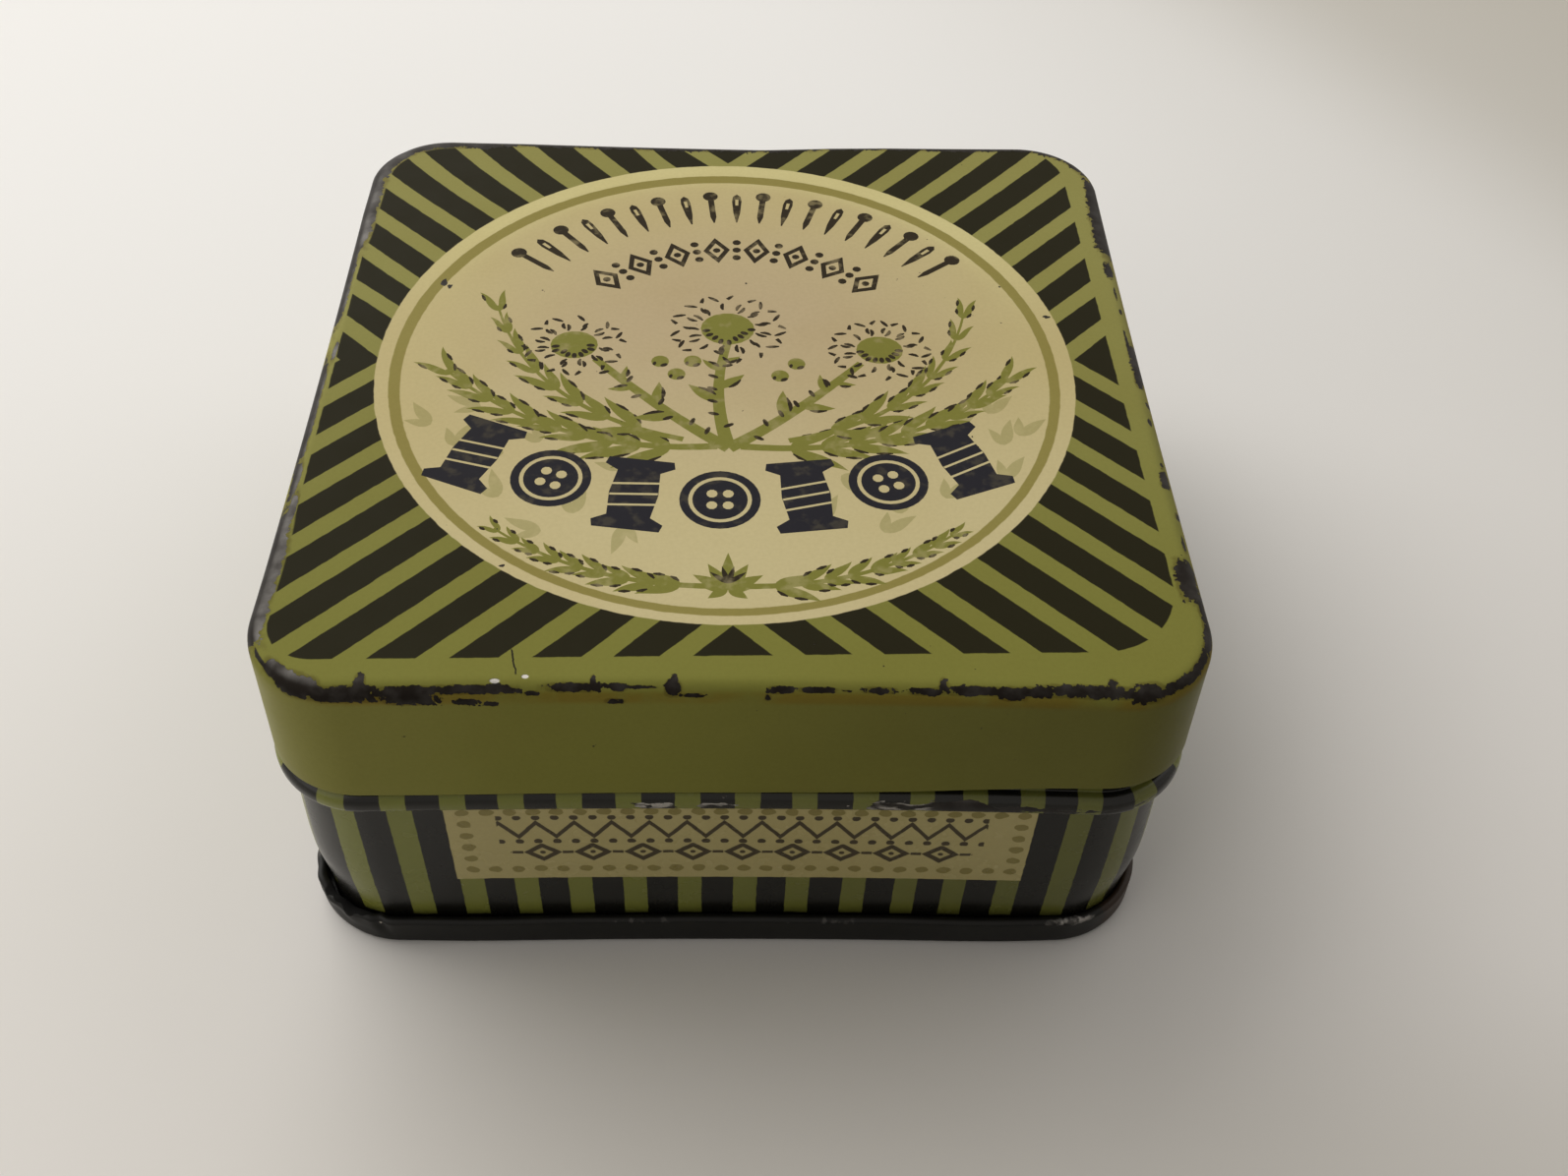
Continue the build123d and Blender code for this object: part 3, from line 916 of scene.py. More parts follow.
def lid_parts():
    """Both faces of the edge and the skirt, the cut end of the fold, and the panel. The panel's upper
    face is a border round the printed disc, and its under face is rings that close at the middle."""
    outer, inner = lid_section()
    s = ticks(-ROUND / 2, ROUND / 2, (-38, 104))
    crest = along(outer)[np.argmax(outer.sum(1))]
    lines = outer, inner, [outer[-1], inner[-1]]
    outside, inside, cut = (shape_lid(carried(line, s), s) for line in lines)
    way = outside[0, :, :2] - DISC_CENTRE
    circle = DISC_CENTRE + PATCH_RADIUS * way / np.linalg.norm(way, axis=1, keepdims=True)
    circle = np.column_stack([circle, HEIGHT - hollow(*circle.T)])
    border = rings_to(outside[0], circle, BORDER_RINGS)
    border[1:-1, :, 2] = HEIGHT - hollow(border[1:-1, :, 0], border[1:-1, :, 1])
    ceiling = rings_to(inside[0], np.zeros_like(inside[0]), PANEL_RINGS)
    ceiling[1:, :, 2] = HEIGHT - TINPLATE - hollow(ceiling[1:, :, 0], ceiling[1:, :, 1])
    return [band(outside, worn=lid_worn(along(outer) - crest, s)), band(inside, 1), band(cut, 1),
            band(border), band(ceiling, 1), printed_disc(circle[:, :2])]


print("lid skirt:", round(HEIGHT - LID_LOW, 2), "mm deep")

# %% [markdown]
# ## The wall
# One strip of printed tinplate goes round the tin and laps at the back. From the top down its section
# is the folded mouth, the neck that the lid slips over, the bead that stops the lid, the printed wall,
# and the hook that the bottom seam grips. The distance round the tin is stored on it, because the
# stripes follow the sheet and not the room.

# %% Wall
BEAD_TOP, BEAD_HEIGHT, BEAD_OUT, BEAD_CREST, BEAD_ROOT = 22.75, 2.3, 1.15, 0.85, 0.25
BEAD_LOW = BEAD_TOP - BEAD_HEIGHT
WAVINESS, BULGE, TUCK, SEAM_OUT, SEAM_IN = 0.035, 0.46, 0.36, 0.24, 0.20
SEAM_HEIGHT, SEAM_GAP, SEAM_GROOVE, SEAM_BEND = 3.4, 0.04, 0.28, 0.30
LAP_WIDTH, LAP_SLIT, LAP_GAP, LAP_ROOT, LAP_END = 4.0, 0.15, 0.05, 0.7, 1.2
HOOK_OUT = SEAM_GROOVE + TINPLATE + SEAM_GAP + HALF
FLANGE = TINPLATE + SEAM_GAP + HALF
BEAD_WEAR = ((0, 0.55), (3, 0.25), (10.5, 0.35), (11.8, 1.15), (15.4, 1.1), (16.2, 1.35), (20.0, 1.35),
             (20.8, 0.85), (27, 0.85), (28.5, 0.5), (33, 0.7), (40, 0.45), (70, 0.4), (100, 0.6),
             (140, 0.4), (180, 0.55), (210, 0.4), (240, 0.55), (250, 0.3), (262, 0.15), (271, 0.3),
             (272.4, 0.85), (274.6, 0.85), (276, 0.5), (277, 0.8), (279, 0.8))


def seam_pull(grid, s):
    """How far the seam is pulled outwards at the left front corner, more the higher a point lies, and
    pressed against the wall at the right one. The wall's own face stays."""
    low = limited(grid[..., 2] / SEAM_HEIGHT) * (grid[..., 2] < SEAM_HEIGHT + 0.3)
    pull = SEAM_OUT * near(s, -37.8, 3.2) * (0.35 + 0.65 * low) - SEAM_IN * near(s, 35.0, 8.0)
    return limited(offset(grid, s) / 0.3) * pull


def tuck(s, z):
    """How far the foot is drawn in at both front corners, less the higher a point lies."""
    return TUCK * (near(s, 33.5, 6.5) + near(s, -32.5, 6.5)) * np.exp(-((z / 5.5) ** 2))


def shape_wall(grid, s):
    """The wall is very slightly wavy. At both front corners its foot is drawn in, and it bulges out
    above that. Its hook goes with the seam."""
    z = grid[..., 2]
    waves = WAVINESS * (1 + np.sin(s / 9.0) * np.cos(z / 5.0)) * limited(z / 6) * limited((21 - z) / 2)
    rise = limited((z - 4) / 5) * limited((20.3 - z) / 9) ** 0.6
    bulge = BULGE * (near(s, 37, 5.5) + near(s, -37, 5.5)) * rise
    press = waves + tuck(s, z) - bulge - seam_pull(grid, s) * (z < SEAM_HEIGHT)
    return pressed(grid, s, press, z)


def strip(faces, s, worn=None):
    """A length of the wall's sheet with both ends closed. Its outer face is printed, and the rest is bare."""
    left, right = faces
    section = np.vstack([left, right[::-1]])
    grid = shape_wall(carried(section, s), s)
    rows, columns = grid.shape[:2]
    stored = {"around": np.broadcast_to(s - ROUND, (rows, columns)).ravel()}
    if worn is not None:
        stored["worn"] = worn(section, s).ravel()
    body = {"points": grid.reshape(-1, 3), "stored": stored}
    skin = quads(rows, columns, ring_rows=True, ring_columns=False)
    first = (len(left) - 1) * (columns - 1)
    ends = np.arange(rows)[None] * columns
    return [body | {"faces": skin[:first], "finish": 0}, body | {"faces": skin[first:], "finish": 1},
            body | {"faces": ends, "finish": 1}, body | {"faces": ends + columns - 1, "finish": 1}]


def wall_worn(section, s):
    """Scuffs on the crest of the bead, and a trace of wear all over."""
    crest = np.exp(-((section[:, 1] - BEAD_TOP + BEAD_HEIGHT / 2) / 0.85) ** 2) * (section[:, 0] > 0.2)
    return crest[:, None] * by_place(s, BEAD_WEAR)[None]


def wall_section():
    """The mouth's fold, the neck, the bead, the printed wall and the hook, from the top down."""
    wall, crest = -HALF, BEAD_OUT - HALF
    fold = wall - TINPLATE - HEM_GAP
    points = [(fold, MOUTH - HEM_DEPTH), (fold, MOUTH - HALF), (wall, MOUTH - HALF), (wall, BEAD_TOP - HALF),
              (crest, BEAD_TOP - HALF), (crest, BEAD_LOW + HALF), (wall, BEAD_LOW + HALF), (wall, FLANGE),
              (HOOK_OUT, FLANGE), (HOOK_OUT, SEAM_HEIGHT - 2 * TINPLATE - SEAM_GAP)]
    bead_bends = [BEAD_ROOT, BEAD_CREST, BEAD_CREST, BEAD_ROOT]
    return bent_section(points, [HEM_BEND, HEM_BEND, *bead_bends, SEAM_BEND, SEAM_BEND])


def lap_section(depth):
    """The same wall between its folds, drawn inwards by depth for the tongue of the lap."""
    shift = depth + HALF
    out = BEAD_OUT - shift
    points = [(-shift, MOUTH - HEM_DEPTH - LAP_END), (-shift, BEAD_TOP - shift), (out, BEAD_TOP - shift),
              (out, BEAD_LOW + shift), (-shift, BEAD_LOW + shift), (-shift, SEAM_HEIGHT + LAP_END)]
    bends = [BEAD_ROOT + shift - HALF, BEAD_CREST - shift + HALF]
    return bent_section(points, bends + bends[::-1])


def wall_parts():
    """The strip all round with a slit at the back, and the tongue behind the slit with its root."""
    start, end = ROUND / 2 + LAP_SLIT / 2, ROUND / 2 + ROUND - LAP_SLIT / 2
    s = np.append(ticks(start, end, (ROUND - 32, ROUND - 27)), end)
    parts = strip(wall_section(), s, wall_worn)
    for depth, first, last in ((TINPLATE + LAP_GAP, start - LAP_WIDTH, start + LAP_ROOT),
                               (HALF + LAP_GAP, start, start + LAP_ROOT)):
        parts += strip(lap_section(depth), np.linspace(first, last, 6))
    return parts


print("bead:", BEAD_OUT, "mm proud, lap at the back", LAP_WIDTH, "mm wide")

# %% [markdown]
# ## The bottom plate
# The plate is a flat panel set inside the wall. It steps down to the foot, turns out under the wall,
# and folds up and over the wall's hook. That double seam is the black rim round the foot. It has been
# knocked at the left front corner, where it stands away from the wall.

# %% Bottom plate
FOOT_BEND, HOOK_BITE, PANEL_RISE, PANEL_BEND = 0.42, 0.35, 2.6, 0.5
HOOK_BEND = 0.49 * 2 * (TINPLATE + SEAM_GAP)
PLATE_SPACING = ((TO_THE_END, 0.45),)
CRUMPLE, CREASE = 0.16, 0.34


def shape_rim(grid, s):
    """The seam goes with the wall's foot. At the left front corner it is crumpled, by the product of two
    slanting waves, with a sharp crease where the corner begins. Elsewhere it is a little uneven."""
    z = grid[..., 2]
    seam = limited(offset(grid, s) / 0.5)
    pull = seam_pull(grid, s) - tuck(s, z)
    crossing = np.sin(1.9 * s + 1.9 * z) * np.sin(0.95 * s - 1.6 * z + 0.6)
    crumple = CRUMPLE * near(s, -36.5, 4.2) * (crossing + 0.5)
    crease = CREASE * near(s, -30.5 - (z - 1.9) * 0.3, 0.45)
    uneven = 0.04 * (1 + np.sin(s / 5.3)) + 0.03 * (1 + np.sin(s / 2.1 + 1))
    high = limited((z - 0.8) / 2)
    move = pull - seam * high * (crumple + crease + uneven * (1 - near(s, -35.5, 6)))
    sink = seam * high * (0.10 * near(s, -31.5, 3.0) + 0.16 * near(s, -35.0, 3.0) * (1.3 + np.sin(2.2 * s)))
    return pressed(grid, s, -move, z - sink)


def plate_section():
    """The inner and the outer face of the step, the turn under the wall and the seam round the hook."""
    step = -TINPLATE - SEAM_GAP - HALF
    outside, hook = HOOK_OUT + TINPLATE + SEAM_GAP, HOOK_OUT - TINPLATE - SEAM_GAP
    panel, rise = step - 2 * PANEL_BEND, PANEL_RISE + HALF
    points = [(panel, rise), (step, rise), (step, HALF), (outside, HALF), (outside, SEAM_HEIGHT - HALF),
              (hook, SEAM_HEIGHT - HALF), (hook, FLANGE + HALF + HOOK_BITE)]
    bends = [PANEL_BEND, FOOT_BEND, FOOT_BEND, HOOK_BEND, HOOK_BEND]
    return bent_section(points, bends, (PLATE_SPACING, PLATE_SPACING))


def plate_wear_and_fold_shade(past, s):
    """Wear on the seam's crown, and less than nothing where it is crumpled, which marks the fold's
    painted shade. Past is the distance down from the crown."""
    rough = 0.62 + 0.42 * near(s, 30.8, 1.9) + 0.22 * near(s, 27.0, 3)
    rough = rough + 0.20 * near(s, -40.5, 2.5) + 0.12 * np.sin(s / 6.0)
    edge = past + 0.3 * np.sin(2.1 * s) + 0.2 * np.sin(4.7 * s + 1)
    # Painted shade: the crumpled folds get a value below nothing, which the enamel turns darker.
    folded = near(s, -34.4, 3.0) * limited((edge + 0.3) / 0.35)
    return rough * np.exp(-((past / 1.1) ** 2)) - 1.8 * folded


def plate_parts():
    """Both faces of the seam and of the panel inside it, and the cut end of the seam."""
    inner, outer = plate_section()
    s = ticks(0, ROUND, (ROUND - 45, ROUND - 26), 0.25)
    crown = along(outer)[np.argmax(outer.sum(1))]
    crown_wear_and_fold_shade = plate_wear_and_fold_shade(along(outer)[:, None] - crown, s)
    parts = []
    for k, (line, worn) in enumerate(((outer, crown_wear_and_fold_shade), (inner, 0.0))):
        grid = shape_rim(carried(line, s), s)
        middle = np.array([[0, 0, grid[0, 0, 2]]] * len(s))
        parts += [band(grid, k, worn=worn), band(rings_to(grid[0], middle, PANEL_RINGS), k)]
    return parts + [band(shape_rim(carried([outer[-1], inner[-1]], s), s))]


print("seam:", SEAM_HEIGHT, "mm high")

# %% [markdown]
# ## Printed lid
# The lid is printed in flat inks on a green ground. The ground shows at the border, as stripes, and on
# the skirt. Black stripes run towards the middle in four mirrored quarters, and a cream disc with an
# olive ring covers their ends. The whole print was laid on the sheet a little askew.
# Where the edge is worn, dark old tinplate shows through.

# %% Inks and worn metal
GREEN, GREEN_CLOUD = colour(0.196, 0.194, 0.038), colour(0.222, 0.206, 0.047)
GREEN_PAINTED_LIGHT = colour(0.284, 0.264, 0.080)
BLACK, LID_BLACK = colour(0.0075, 0.0072, 0.0052), colour(0.0172, 0.0150, 0.0056)
CREAM, CREAM_EDGE = colour(0.510, 0.402, 0.236), colour(0.550, 0.458, 0.225)
CREAM_FRONT, CREAM_BACK = colour(0.590, 0.502, 0.268), colour(0.635, 0.560, 0.268)
OLIVE, RING = colour(0.212, 0.204, 0.042), colour(0.285, 0.240, 0.068)
LINE, NAVY = colour(0.030, 0.022, 0.012), colour(0.020, 0.019, 0.024)
FADING = (OLIVE, 0.25), (LINE, 0.3), (NAVY, 0.06)
LABEL_CREAM = colour(0.44, 0.375, 0.160)
DOT_INK, STITCH_INK = colour(0.225, 0.185, 0.048), colour(0.030, 0.019, 0.008)
OLD_TIN, GREY_TIN = colour(0.013, 0.0105, 0.0085), colour(0.125, 0.118, 0.110)
CLEAN_TIN = colour(0.40, 0.38, 0.35)
OLD_VARNISH, GRAIN = colour(0.93, 0.90, 0.82), colour(0.86, 0.85, 0.83)
GREEN_PAINTED_SHADE, WALL_TINT, FOOT_PAINTED_SHADE = colour(0.68, 0.67, 0.80), colour(0.90, 1.0, 0.92), colour(0.30, 0.26, 0.2)
FRINGE_TINT, BROWN_TINT = colour(0.42, 0.34, 0.30), colour(0.98, 0.76, 0.56)
GROOVE_PAINTED_SHADE = colour(0.006, 0.005, 0.004)
BARE_TIN, YELLOW_TIN, RUST = colour(0.60, 0.57, 0.50), colour(0.50, 0.46, 0.38), colour(0.14, 0.06, 0.02)
BLUR = 0.05


def ragged(f, mm, x, y, amount=0.16):
    """x and y moved about by noise, which makes the edge of an ink slightly uneven."""
    elsewhere = f.node("ShaderNodeVectorMath", {"operation": "ADD"}, {0: mm, 1: (17.0, 5.0, 3.0)})
    return x + (f.noise(mm, 1.1, 3) - 0.5) * amount, y + (f.noise(elsewhere, 1.1, 3) - 0.5) * amount


def aged(f, mm, ink):
    """Ink darkened in soft clouds and by a fine grain, as old varnish is."""
    cloud = f.rise(f.noise(mm, 14, 3), 0.35, 0.75)
    grain = f.rise(f.noise(mm, 0.35, 2), 0.2, 0.8)
    tinted = f.mix(cloud * 0.5, ink, OLD_VARNISH, "MULTIPLY")
    return f.mix(grain * 0.35, tinted, GRAIN, "MULTIPLY")


def worn_through(f, at, worn, rough):
    """1 where the print is gone: the stored wear, broken up by coarse and fine noise of a size rough."""
    broken = worn + (f.noise(at, 1.3, 4) - 0.5) * rough + (f.noise(at, 0.42, 3) - 0.5) * rough
    return f.rise(broken, 0.66, 0.72)


def on_metal(f, mm, print_colour, bare, gloss, grey, bright, shine=0.25):
    """The finished surface: print with a satin varnish, and metal where bare says so. The metal is dark
    and tarnished, grey from rubbing where grey is 1 and clean where bright is 1. On the lid's left crest
    the grey is partly a painted highlight."""
    metal = f.mix(f.rise(f.noise(mm, 1.2, 3), 0.35, 0.75) * 0.15 + grey, OLD_TIN, GREY_TIN)
    metal = f.mix(bright, metal, CLEAN_TIN)
    rough = f.noise(mm, 2.5, 3) * 0.14 - 0.07 + gloss
    relief = f.bump(1 - bare, 0.03, f.bump(f.noise(mm, 0.9, 2), 0.004))
    return f.surface(Base_Color=f.mix(bare, print_colour, metal), Roughness=rough,
                     Metallic=bare * 0.6, Normal=relief, Specular_IOR_Level=shine)


print("inks:", "green, black, cream, olive, line and navy")

# %% Lid print
STRIPE_PITCH, STRIPE_WIDE, STRIPE_PHASE = 6.03, 3.6, 2.84
BORDER, BORDER_ROUND = 34.8, 5.4
DISC_RADIUS = 31.05
RING_OUT, RING_IN = ((-0.82, 0.40), 29.7), ((-0.78, 0.15), 28.7)


def round_edge(x, y, middle, radius):
    """1 inside a circle."""
    return x.finish.rise(length(x - middle[0], y - middle[1]), radius + BLUR, radius - BLUR)


def lid_stripes(x, y):
    """1 where the stripes are: the difference of the distances from both axes, repeated by the pitch,
    inside a square with rounded corners. The print lies a little askew on the sheet, and drawing the
    lid has stretched it at the back and on the left, which makes the stripes slip."""
    f = x.finish
    across = x * (y * 0.00015 + 1) + y * 0.0114 + 0.54
    deep = y * (x * -0.00034 + 1.006) - x * 0.0232 - 1.115
    back, left = f.rise(y, 5.0, 13.0), f.rise(x, -6.0, -11.0)
    curl = most(y - 24.0, 0.0)
    slip = left * (1 - back) * 0.3 - back * 0.32 + curl * curl * (left * 0.0095 + 0.0042)
    stripe = abs(centred(abs(across) - abs(deep) + slip - STRIPE_PHASE, STRIPE_PITCH))
    radius = across * 0.05 + BORDER_ROUND
    sides = across + 0.1, deep - across * 0.0103 - 0.25
    outside = length(*(most(abs(d) + radius - BORDER, 0.0) for d in sides)) - radius
    return f.rise(stripe, STRIPE_WIDE / 2 + BLUR, STRIPE_WIDE / 2 - BLUR) * f.rise(outside, BLUR, -BLUR)


def green_ground(f, mm, x, y, side):
    """The green ink: uneven, and darker towards the right front corner as painted shade. Side is 1
    where that painted shade may lie."""
    unshaded_green = f.mix(f.noise(mm, 5, 3) * 0.5, GREEN, GREEN_CLOUD)
    # Painted shade: the green is darkened towards the right front corner where side is 1.
    right_front_shade = f.rise(x - y * 0.5 + (f.noise(mm, 16, 3) - 0.5) * 20, 4.0, 58.0) * side
    return f.mix(right_front_shade, unshaded_green, GREEN_PAINTED_SHADE, "MULTIPLY")


def lid_ground(f, mm, x, y, z):
    """Lid green, with painted sheen towards the back of the panel and painted light on the left of the skirt.
    """
    below = f.rise(z, HEIGHT - 0.5, HEIGHT - 1.8)
    # Painted sheen on the panel towards the back, and painted light on the left of the skirt.
    painted_light = f.rise(y, -42.0, 26.0) * (1 - below) + f.rise(x, -10.0, -38.0) * below * 0.36
    return f.mix(painted_light, green_ground(f, mm, x, y, below), GREEN_PAINTED_LIGHT)


def lid_paper(f, x, y):
    """The cream of the disc, which is lighter and yellower at its rim, in front and at the back."""
    away = length(x + 1.0, y - 1.0)
    paper = f.mix(f.rise(away, 8.0, 31.0), CREAM, CREAM_EDGE)
    paper = f.mix(f.rise(y, 8.0, -24.0), paper, CREAM_FRONT)
    return f.mix(f.rise(y, 4.0, 24.0) * f.rise(away, 26.0, 30.0), paper, CREAM_BACK)


def lid_drawing(f, mm, tone):
    """The drawing's inks over a tone. Each has faded a little in small clouds."""
    ink, faded = f.stored("ink", "Color"), f.rise(f.noise(mm, 1.3, 3), 0.30, 0.50)
    for k, (tint, fading) in enumerate(FADING):
        share = f.node("ShaderNodeSeparateColor", (), {0: ink}, out=k)
        tone = f.mix(share * (faded * fading + (1 - fading)), tone, tint)
    return tone


def lid_aged(f, mm, x, y, z, tone, worn):
    """A dark fringe round worn places, a brown bend, and a crack across the border in front."""
    fringe = f.rise(worn + (f.noise(mm, 0.9, 3) - 0.5) * 0.9, 0.30, 0.75) * 0.55
    tone = f.mix(fringe, aged(f, mm, tone), FRINGE_TINT, "MULTIPLY")
    bend = f.rise(z, HEIGHT - 1.8, HEIGHT - 1.2) * f.rise(z, HEIGHT - 0.3, HEIGHT - 0.7)
    brown = bend * f.rise(f.noise(mm, 5.0, 3), 0.30, 0.52) * f.rise(x, -34.0, -27.0) * 0.85
    tone = f.mix(brown, tone, BROWN_TINT, "MULTIPLY")
    crack = f.rise(abs(x + y * 0.25 + 25.0 + (f.noise(mm, 0.8, 2) - 0.5) * 0.4), 0.09, 0.04)
    return f.mix(crack * f.rise(abs(y + 34.0), 1.3, 1.1), tone, OLD_TIN)


def lid_finish():
    """The lid's print, with metal showing at its edge and grey on the left crest: partly worn by rubbing,
    partly a painted highlight.
    """
    f = Finish("printed_tin_lid")
    mm, x, y, z = f.place()
    u, v = ragged(f, mm, x, y)
    worn, left = f.stored("worn"), f.rise(x, -26.0, -35.0)
    on_top, kept = f.rise(z, HEIGHT - 1.38, HEIGHT - 1.28), 1 - left * f.rise(worn, 0.40, 0.58)
    tone = f.mix(lid_stripes(u, v) * on_top * kept, lid_ground(f, mm, x, y, z), LID_BLACK)
    tone = f.mix(round_edge(u, v, DISC_CENTRE, DISC_RADIUS), tone, lid_paper(f, x, y))
    tone = f.mix(round_edge(u, v, *RING_OUT) - round_edge(u, v, *RING_IN), tone, RING)
    tone = lid_aged(f, mm, x, y, z, lid_drawing(f, mm, tone), worn)
    speck = f.rise(least(length((x + 17.7) * 0.5, y + 35.79), length((x + 15.5) * 0.7, y + 35.4)), 0.24, 0.14)
    bare = most(worn_through(f, mm, worn, 1.7 - left * 0.9), f.stored("ink", "Alpha"), speck)
    # Grey on the left crest: partly wear from rubbing, partly a painted highlight on the side facing the
    # window lamp.
    rubbed_and_highlight = f.rise(z, HEIGHT - 0.30, HEIGHT - 0.02) * left * f.rise(f.noise(mm, 2.0, 4), 0.2, 0.8)
    rubbed_and_highlight = rubbed_and_highlight * (f.rise(y, 33.0, 20.0) * 0.6 + 0.3)
    gloss = f.rise(z, HEIGHT - 3.0, HEIGHT - 0.3) * 0.16 + 0.36
    return on_metal(f, mm, tone, bare, gloss, rubbed_and_highlight, speck, 0.035)


def inside_finish():
    """Bare tinplate, yellowed in clouds and rusty in specks."""
    f = Finish("bare_tinplate")
    mm, *_ = f.place()
    tone = f.mix(f.rise(f.noise(mm, 9, 4), 0.35, 0.7), BARE_TIN, YELLOW_TIN)
    rust = f.rise(f.noise(mm, 2.2, 4, 0.6), 0.66, 0.74)
    rough = f.noise(mm, 4, 3) * 0.2 + 0.26 + rust * 0.3
    return f.surface(Base_Color=f.mix(rust * 0.7, tone, RUST), Metallic=1 - rust * 0.8, Roughness=rough,
                     Normal=f.bump(f.noise(mm, 0.5, 2), 0.004))


bare_tinplate = inside_finish()
piece("lid_sheet", "lid", "lid", lid_parts(), [lid_finish(), bare_tinplate])

# %% [markdown]
# ## Printed wall
# The wall has upright stripes of the same two inks. They are printed on the flat strip, so they follow
# the distance round the tin and break at the lap. On the front a cream label lies over them, with a
# border of dots and two rows of stitches. Above the bead the sheet was left bare.

# %% Wall print
WALL_PITCH, WALL_GREEN, WALL_PHASE = 4.69, 2.05, 1.15
LABEL_BOX, DOT_BOX = (-23.5, 25.1, 8.95, 20.4), (-22.0, 24.0, 10.4, 18.95)
DOTS_ALONG, DOTS_UP, DOT_WIDE, DOT_TALL = 24, 5, 0.58, 0.48
SEWN_FROM, ZIGZAG_PITCH, ZIGZAG_HEIGHT, ZIGZAG_BOX = 0.9, 3.1, 16.35, (-19.4, 21.2, 14.3, 18.4)
LOZENGE_PITCH, LOZENGE_HEIGHT, LOZENGE_BOX = 4.2, 12.95, (-18.6, 20.4, 11.2, 14.25)


def box_mask(u, v, left, right, low, high):
    """1 inside an upright rectangle."""
    beside = abs(u - (left + right) / 2) - (right - left) / 2
    above = abs(v - (low + high) / 2) - (high - low) / 2
    return u.finish.rise(most(beside, above), BLUR, -BLUR)


def dot_border(u, v):
    """Oval dots at even steps along a rectangle: each side is a row of repeated dots, cut to its length."""
    left, right, low, high = DOT_BOX
    step_u, step_v = (right - left) / DOTS_ALONG, (high - low) / DOTS_UP
    row = length(centred(u - left, step_u) / DOT_WIDE, least(abs(v - low), abs(v - high)) / DOT_TALL)
    column = length(least(abs(u - left), abs(u - right)) / DOT_WIDE, centred(v - low, step_v) / DOT_TALL)
    within = box_mask(u, v, left - 1, right + 1, low - 1, high + 1)
    return u.finish.rise(least(row, column), 1.08, 0.94) * within


def zigzag(u, v):
    """A zigzag thread with knots in its bends."""
    f, up = u.finish, v - ZIGZAG_HEIGHT
    wave, knot = centred(u - SEWN_FROM, ZIGZAG_PITCH), centred(u - SEWN_FROM, ZIGZAG_PITCH / 2)
    thread = abs(up - (abs(wave) - ZIGZAG_PITCH / 4) * 1.35) * 0.6
    knots = length(knot, abs(up) - 1.75) - 0.36
    drawn = most(f.rise(thread, 0.24, 0.17), f.rise(knots, 0.04, -0.04))
    return drawn * box_mask(u, v, *ZIGZAG_BOX)


def lozenges(u, v):
    """Lozenges with a dot in each, joined by short dashes."""
    f, up, side = u.finish, abs(v - LOZENGE_HEIGHT), centred(u - SEWN_FROM, LOZENGE_PITCH)
    rim = abs(abs(side) * 0.85 + up - 1.05) * 0.6
    dash = most(abs(abs(side) - LOZENGE_PITCH / 2) - 0.45, up - 0.20)
    heart = length(side, up) - 0.24
    drawn = most(f.rise(rim, 0.24, 0.17), f.rise(least(dash, heart), 0.04, -0.04))
    return drawn * box_mask(u, v, *LOZENGE_BOX)


def wall_stripes(u):
    """1 where the wall is black. Each stripe is out of place by a random share of its own, and the
    stripes drift on the right of the front and slip past the left corner."""
    f = u.finish
    u = u + most(u - 12.0, 0.0) * 0.045 + f.rise(u, -33.0, -35.0) * 1.2
    number = (u - WALL_PHASE) / WALL_PITCH + 0.5
    sway = f.node("ShaderNodeTexWhiteNoise", {"noise_dimensions": "1D"}, {"W": number.maths("FLOOR", number)})
    green = abs(centred(u - WALL_PHASE, WALL_PITCH) - (sway - 0.5) * 0.3)
    return f.rise(green, WALL_GREEN / 2 - BLUR, WALL_GREEN / 2 + BLUR)


def with_label(f, mm, tone, u, v):
    """A tone with the label over it: cream, a border of dots and two rows of stitches."""
    label = box_mask(u, v, *LABEL_BOX)
    tone = f.mix(label, tone, LABEL_CREAM)
    tone = f.mix(dot_border(*ragged(f, mm, u, v, 0.35)) * label * 0.92, tone, DOT_INK)
    return f.mix((zigzag(u, v) + lozenges(u, v)) * label * 0.94, tone, STITCH_INK)


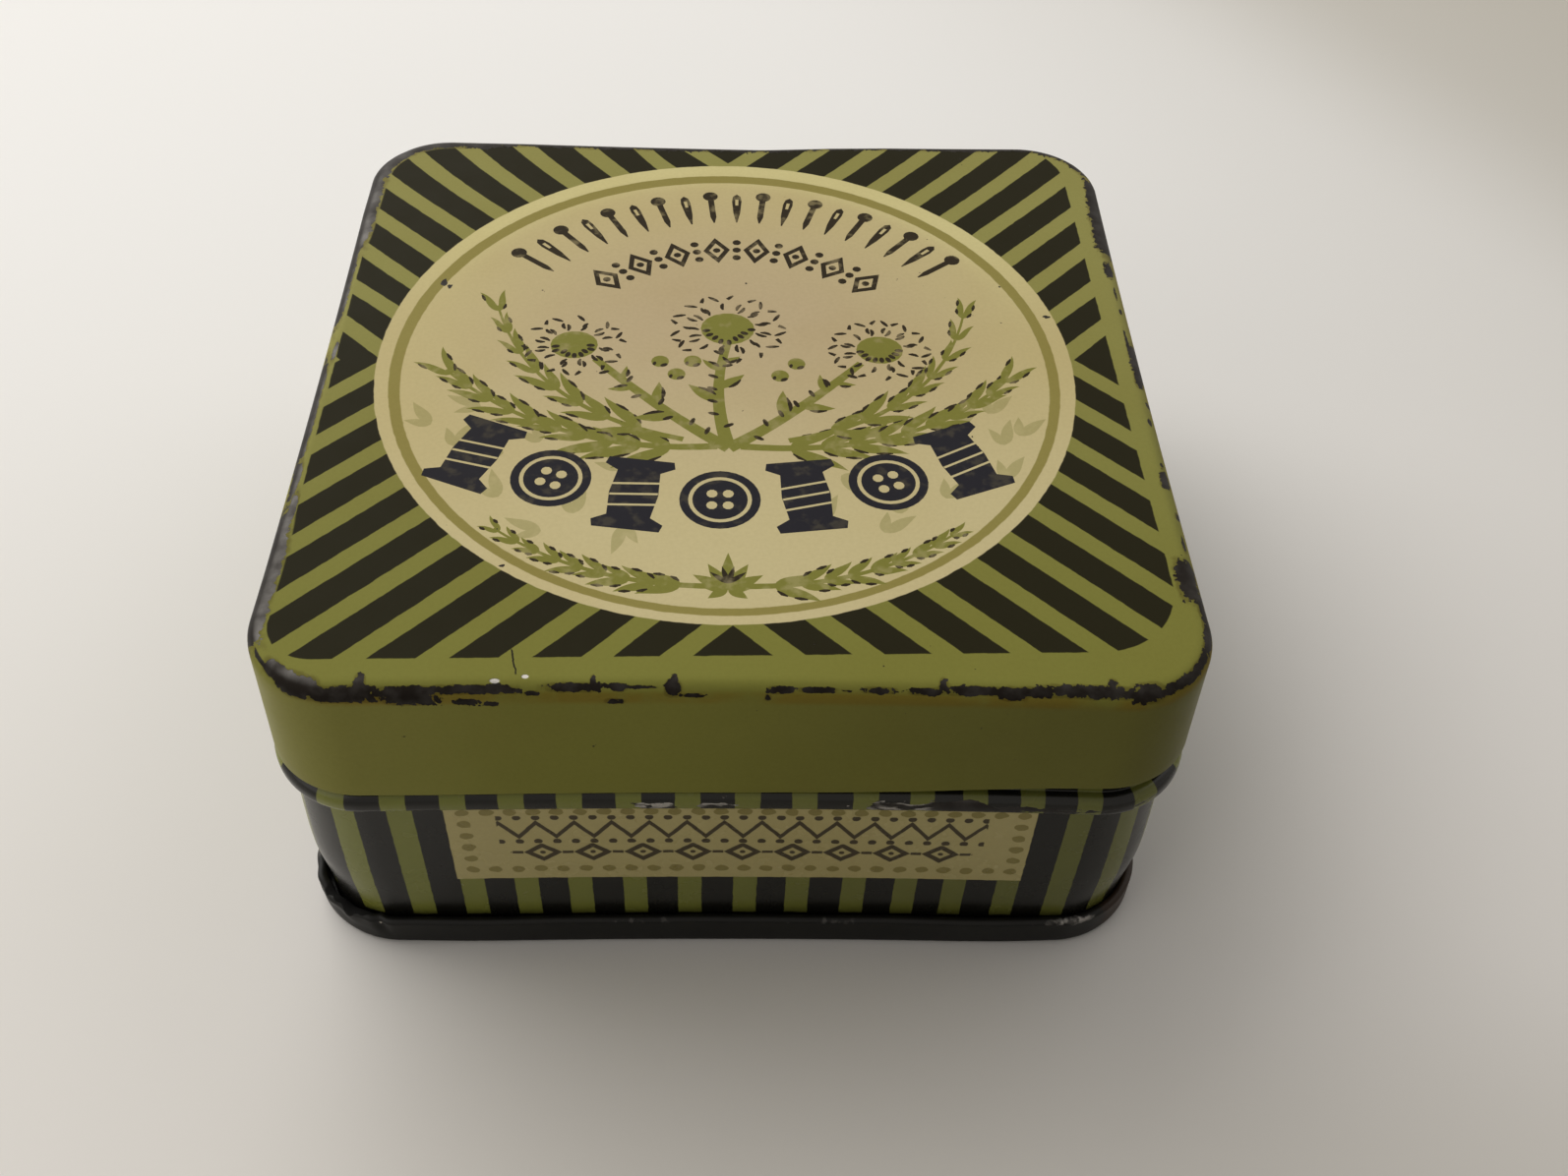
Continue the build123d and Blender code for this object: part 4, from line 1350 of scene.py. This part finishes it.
def wall_finish():
    """The wall's print, with painted shade towards the foot and in the seam's groove, bare metal on the neck
    and the bead's scuffs.
    """
    f = Finish("printed_tin_wall")
    mm, x, y, z = f.place()
    around, worn = f.stored("around"), f.stored("worn")
    u, v = ragged(f, mm, around, z)
    # The green's painted shade is kept off the wall's right corner.
    ground = f.mix(0.8, green_ground(f, mm, x, y, f.rise(around, 37.0, 31.0)), WALL_TINT, "MULTIPLY")
    tone = with_label(f, mm, f.mix(wall_stripes(u), ground, BLACK), u, v)
    # Painted shade: the print is darkened towards the foot, just above the seam.
    tone = f.mix(f.rise(z, 4.6, 3.1) * 0.4, aged(f, mm, tone), FOOT_PAINTED_SHADE, "MULTIPLY")
    # Painted shade: the wall in the groove behind the seam is made nearly black.
    tone = f.mix(f.rise(z - (f.noise(mm, 1.6, 3) - 0.5) * 0.4, 3.25, 3.0), tone, GROOVE_PAINTED_SHADE)
    neck = f.rise(z, BEAD_TOP + 1.1, BEAD_TOP + 1.3)
    stretched = f.join(around * 0.3, z * 0.9)
    scuff = worn_through(f, stretched, worn, 1.35)
    clean = f.rise(f.noise(stretched, 0.8, 2), 0.44, 0.56) * f.rise(around, 16.5, 15.0)
    return on_metal(f, mm, tone, most(neck, scuff), 0.26, 0.4 - scuff * 0.35, most(neck, clean * scuff))


piece("wall_strip", "base", "body_wall", wall_parts(), [wall_finish(), bare_tinplate])

# %% [markdown]
# ## Black rim
# The bottom plate is stoved in black. It shines a little, it is scratched grey along its upper edge,
# and some rust has come through at one corner. Its crumpled folds are darkened as painted shade.

# %% Black enamel
ENAMEL, ENAMEL_CLOUD = colour(0.0045, 0.0043, 0.0036), colour(0.010, 0.0095, 0.0080)
FOLD_PAINTED_SHADE, ENAMEL_RUST = colour(0.0015, 0.0013, 0.0010), colour(0.034, 0.017, 0.008)


def rim_finish():
    """Black enamel, bare on the seam's crown, with painted shade in its folds and rusty at the right corner.
    """
    f = Finish("black_stoved_enamel")
    mm, x, y, _ = f.place()
    tone = f.mix(f.noise(mm, 3, 3), ENAMEL, ENAMEL_CLOUD)
    worn = f.stored("worn")
    bare = f.rise(worn + (f.noise(mm, 1.3, 3) - 0.5) * 0.8 + (f.noise(mm, 0.4, 2) - 0.5) * 0.3, 0.78, 0.92)
    # Painted shade in the crumpled folds: where the stored value is below nothing the enamel is made darker.
    folded = f.rise(worn, -0.30, -0.45)
    tone = f.mix(folded, tone, FOLD_PAINTED_SHADE)
    corner = f.rise(length(x - 36.0, y + 33.0), 6.5, 1.5)
    rust = f.rise(corner * 0.55 + f.noise(mm, 1.2, 4, 0.6) * 0.7, 0.62, 0.80)
    tone = f.mix(rust * 0.6, tone, ENAMEL_RUST)
    clean = f.rise(length(x - 30.4, y + 36.8), 3.0, 1.2) * f.rise(f.noise(mm, 0.7, 3), 0.4, 0.6)
    return on_metal(f, mm, tone, bare * (clean * 0.4 + 0.6), folded * 0.5 + 0.42, 0.6, clean * 0.45, 0.16)


piece("bottom_rim", "base", "bottom_plate", plate_parts(), [rim_finish(), bare_tinplate])
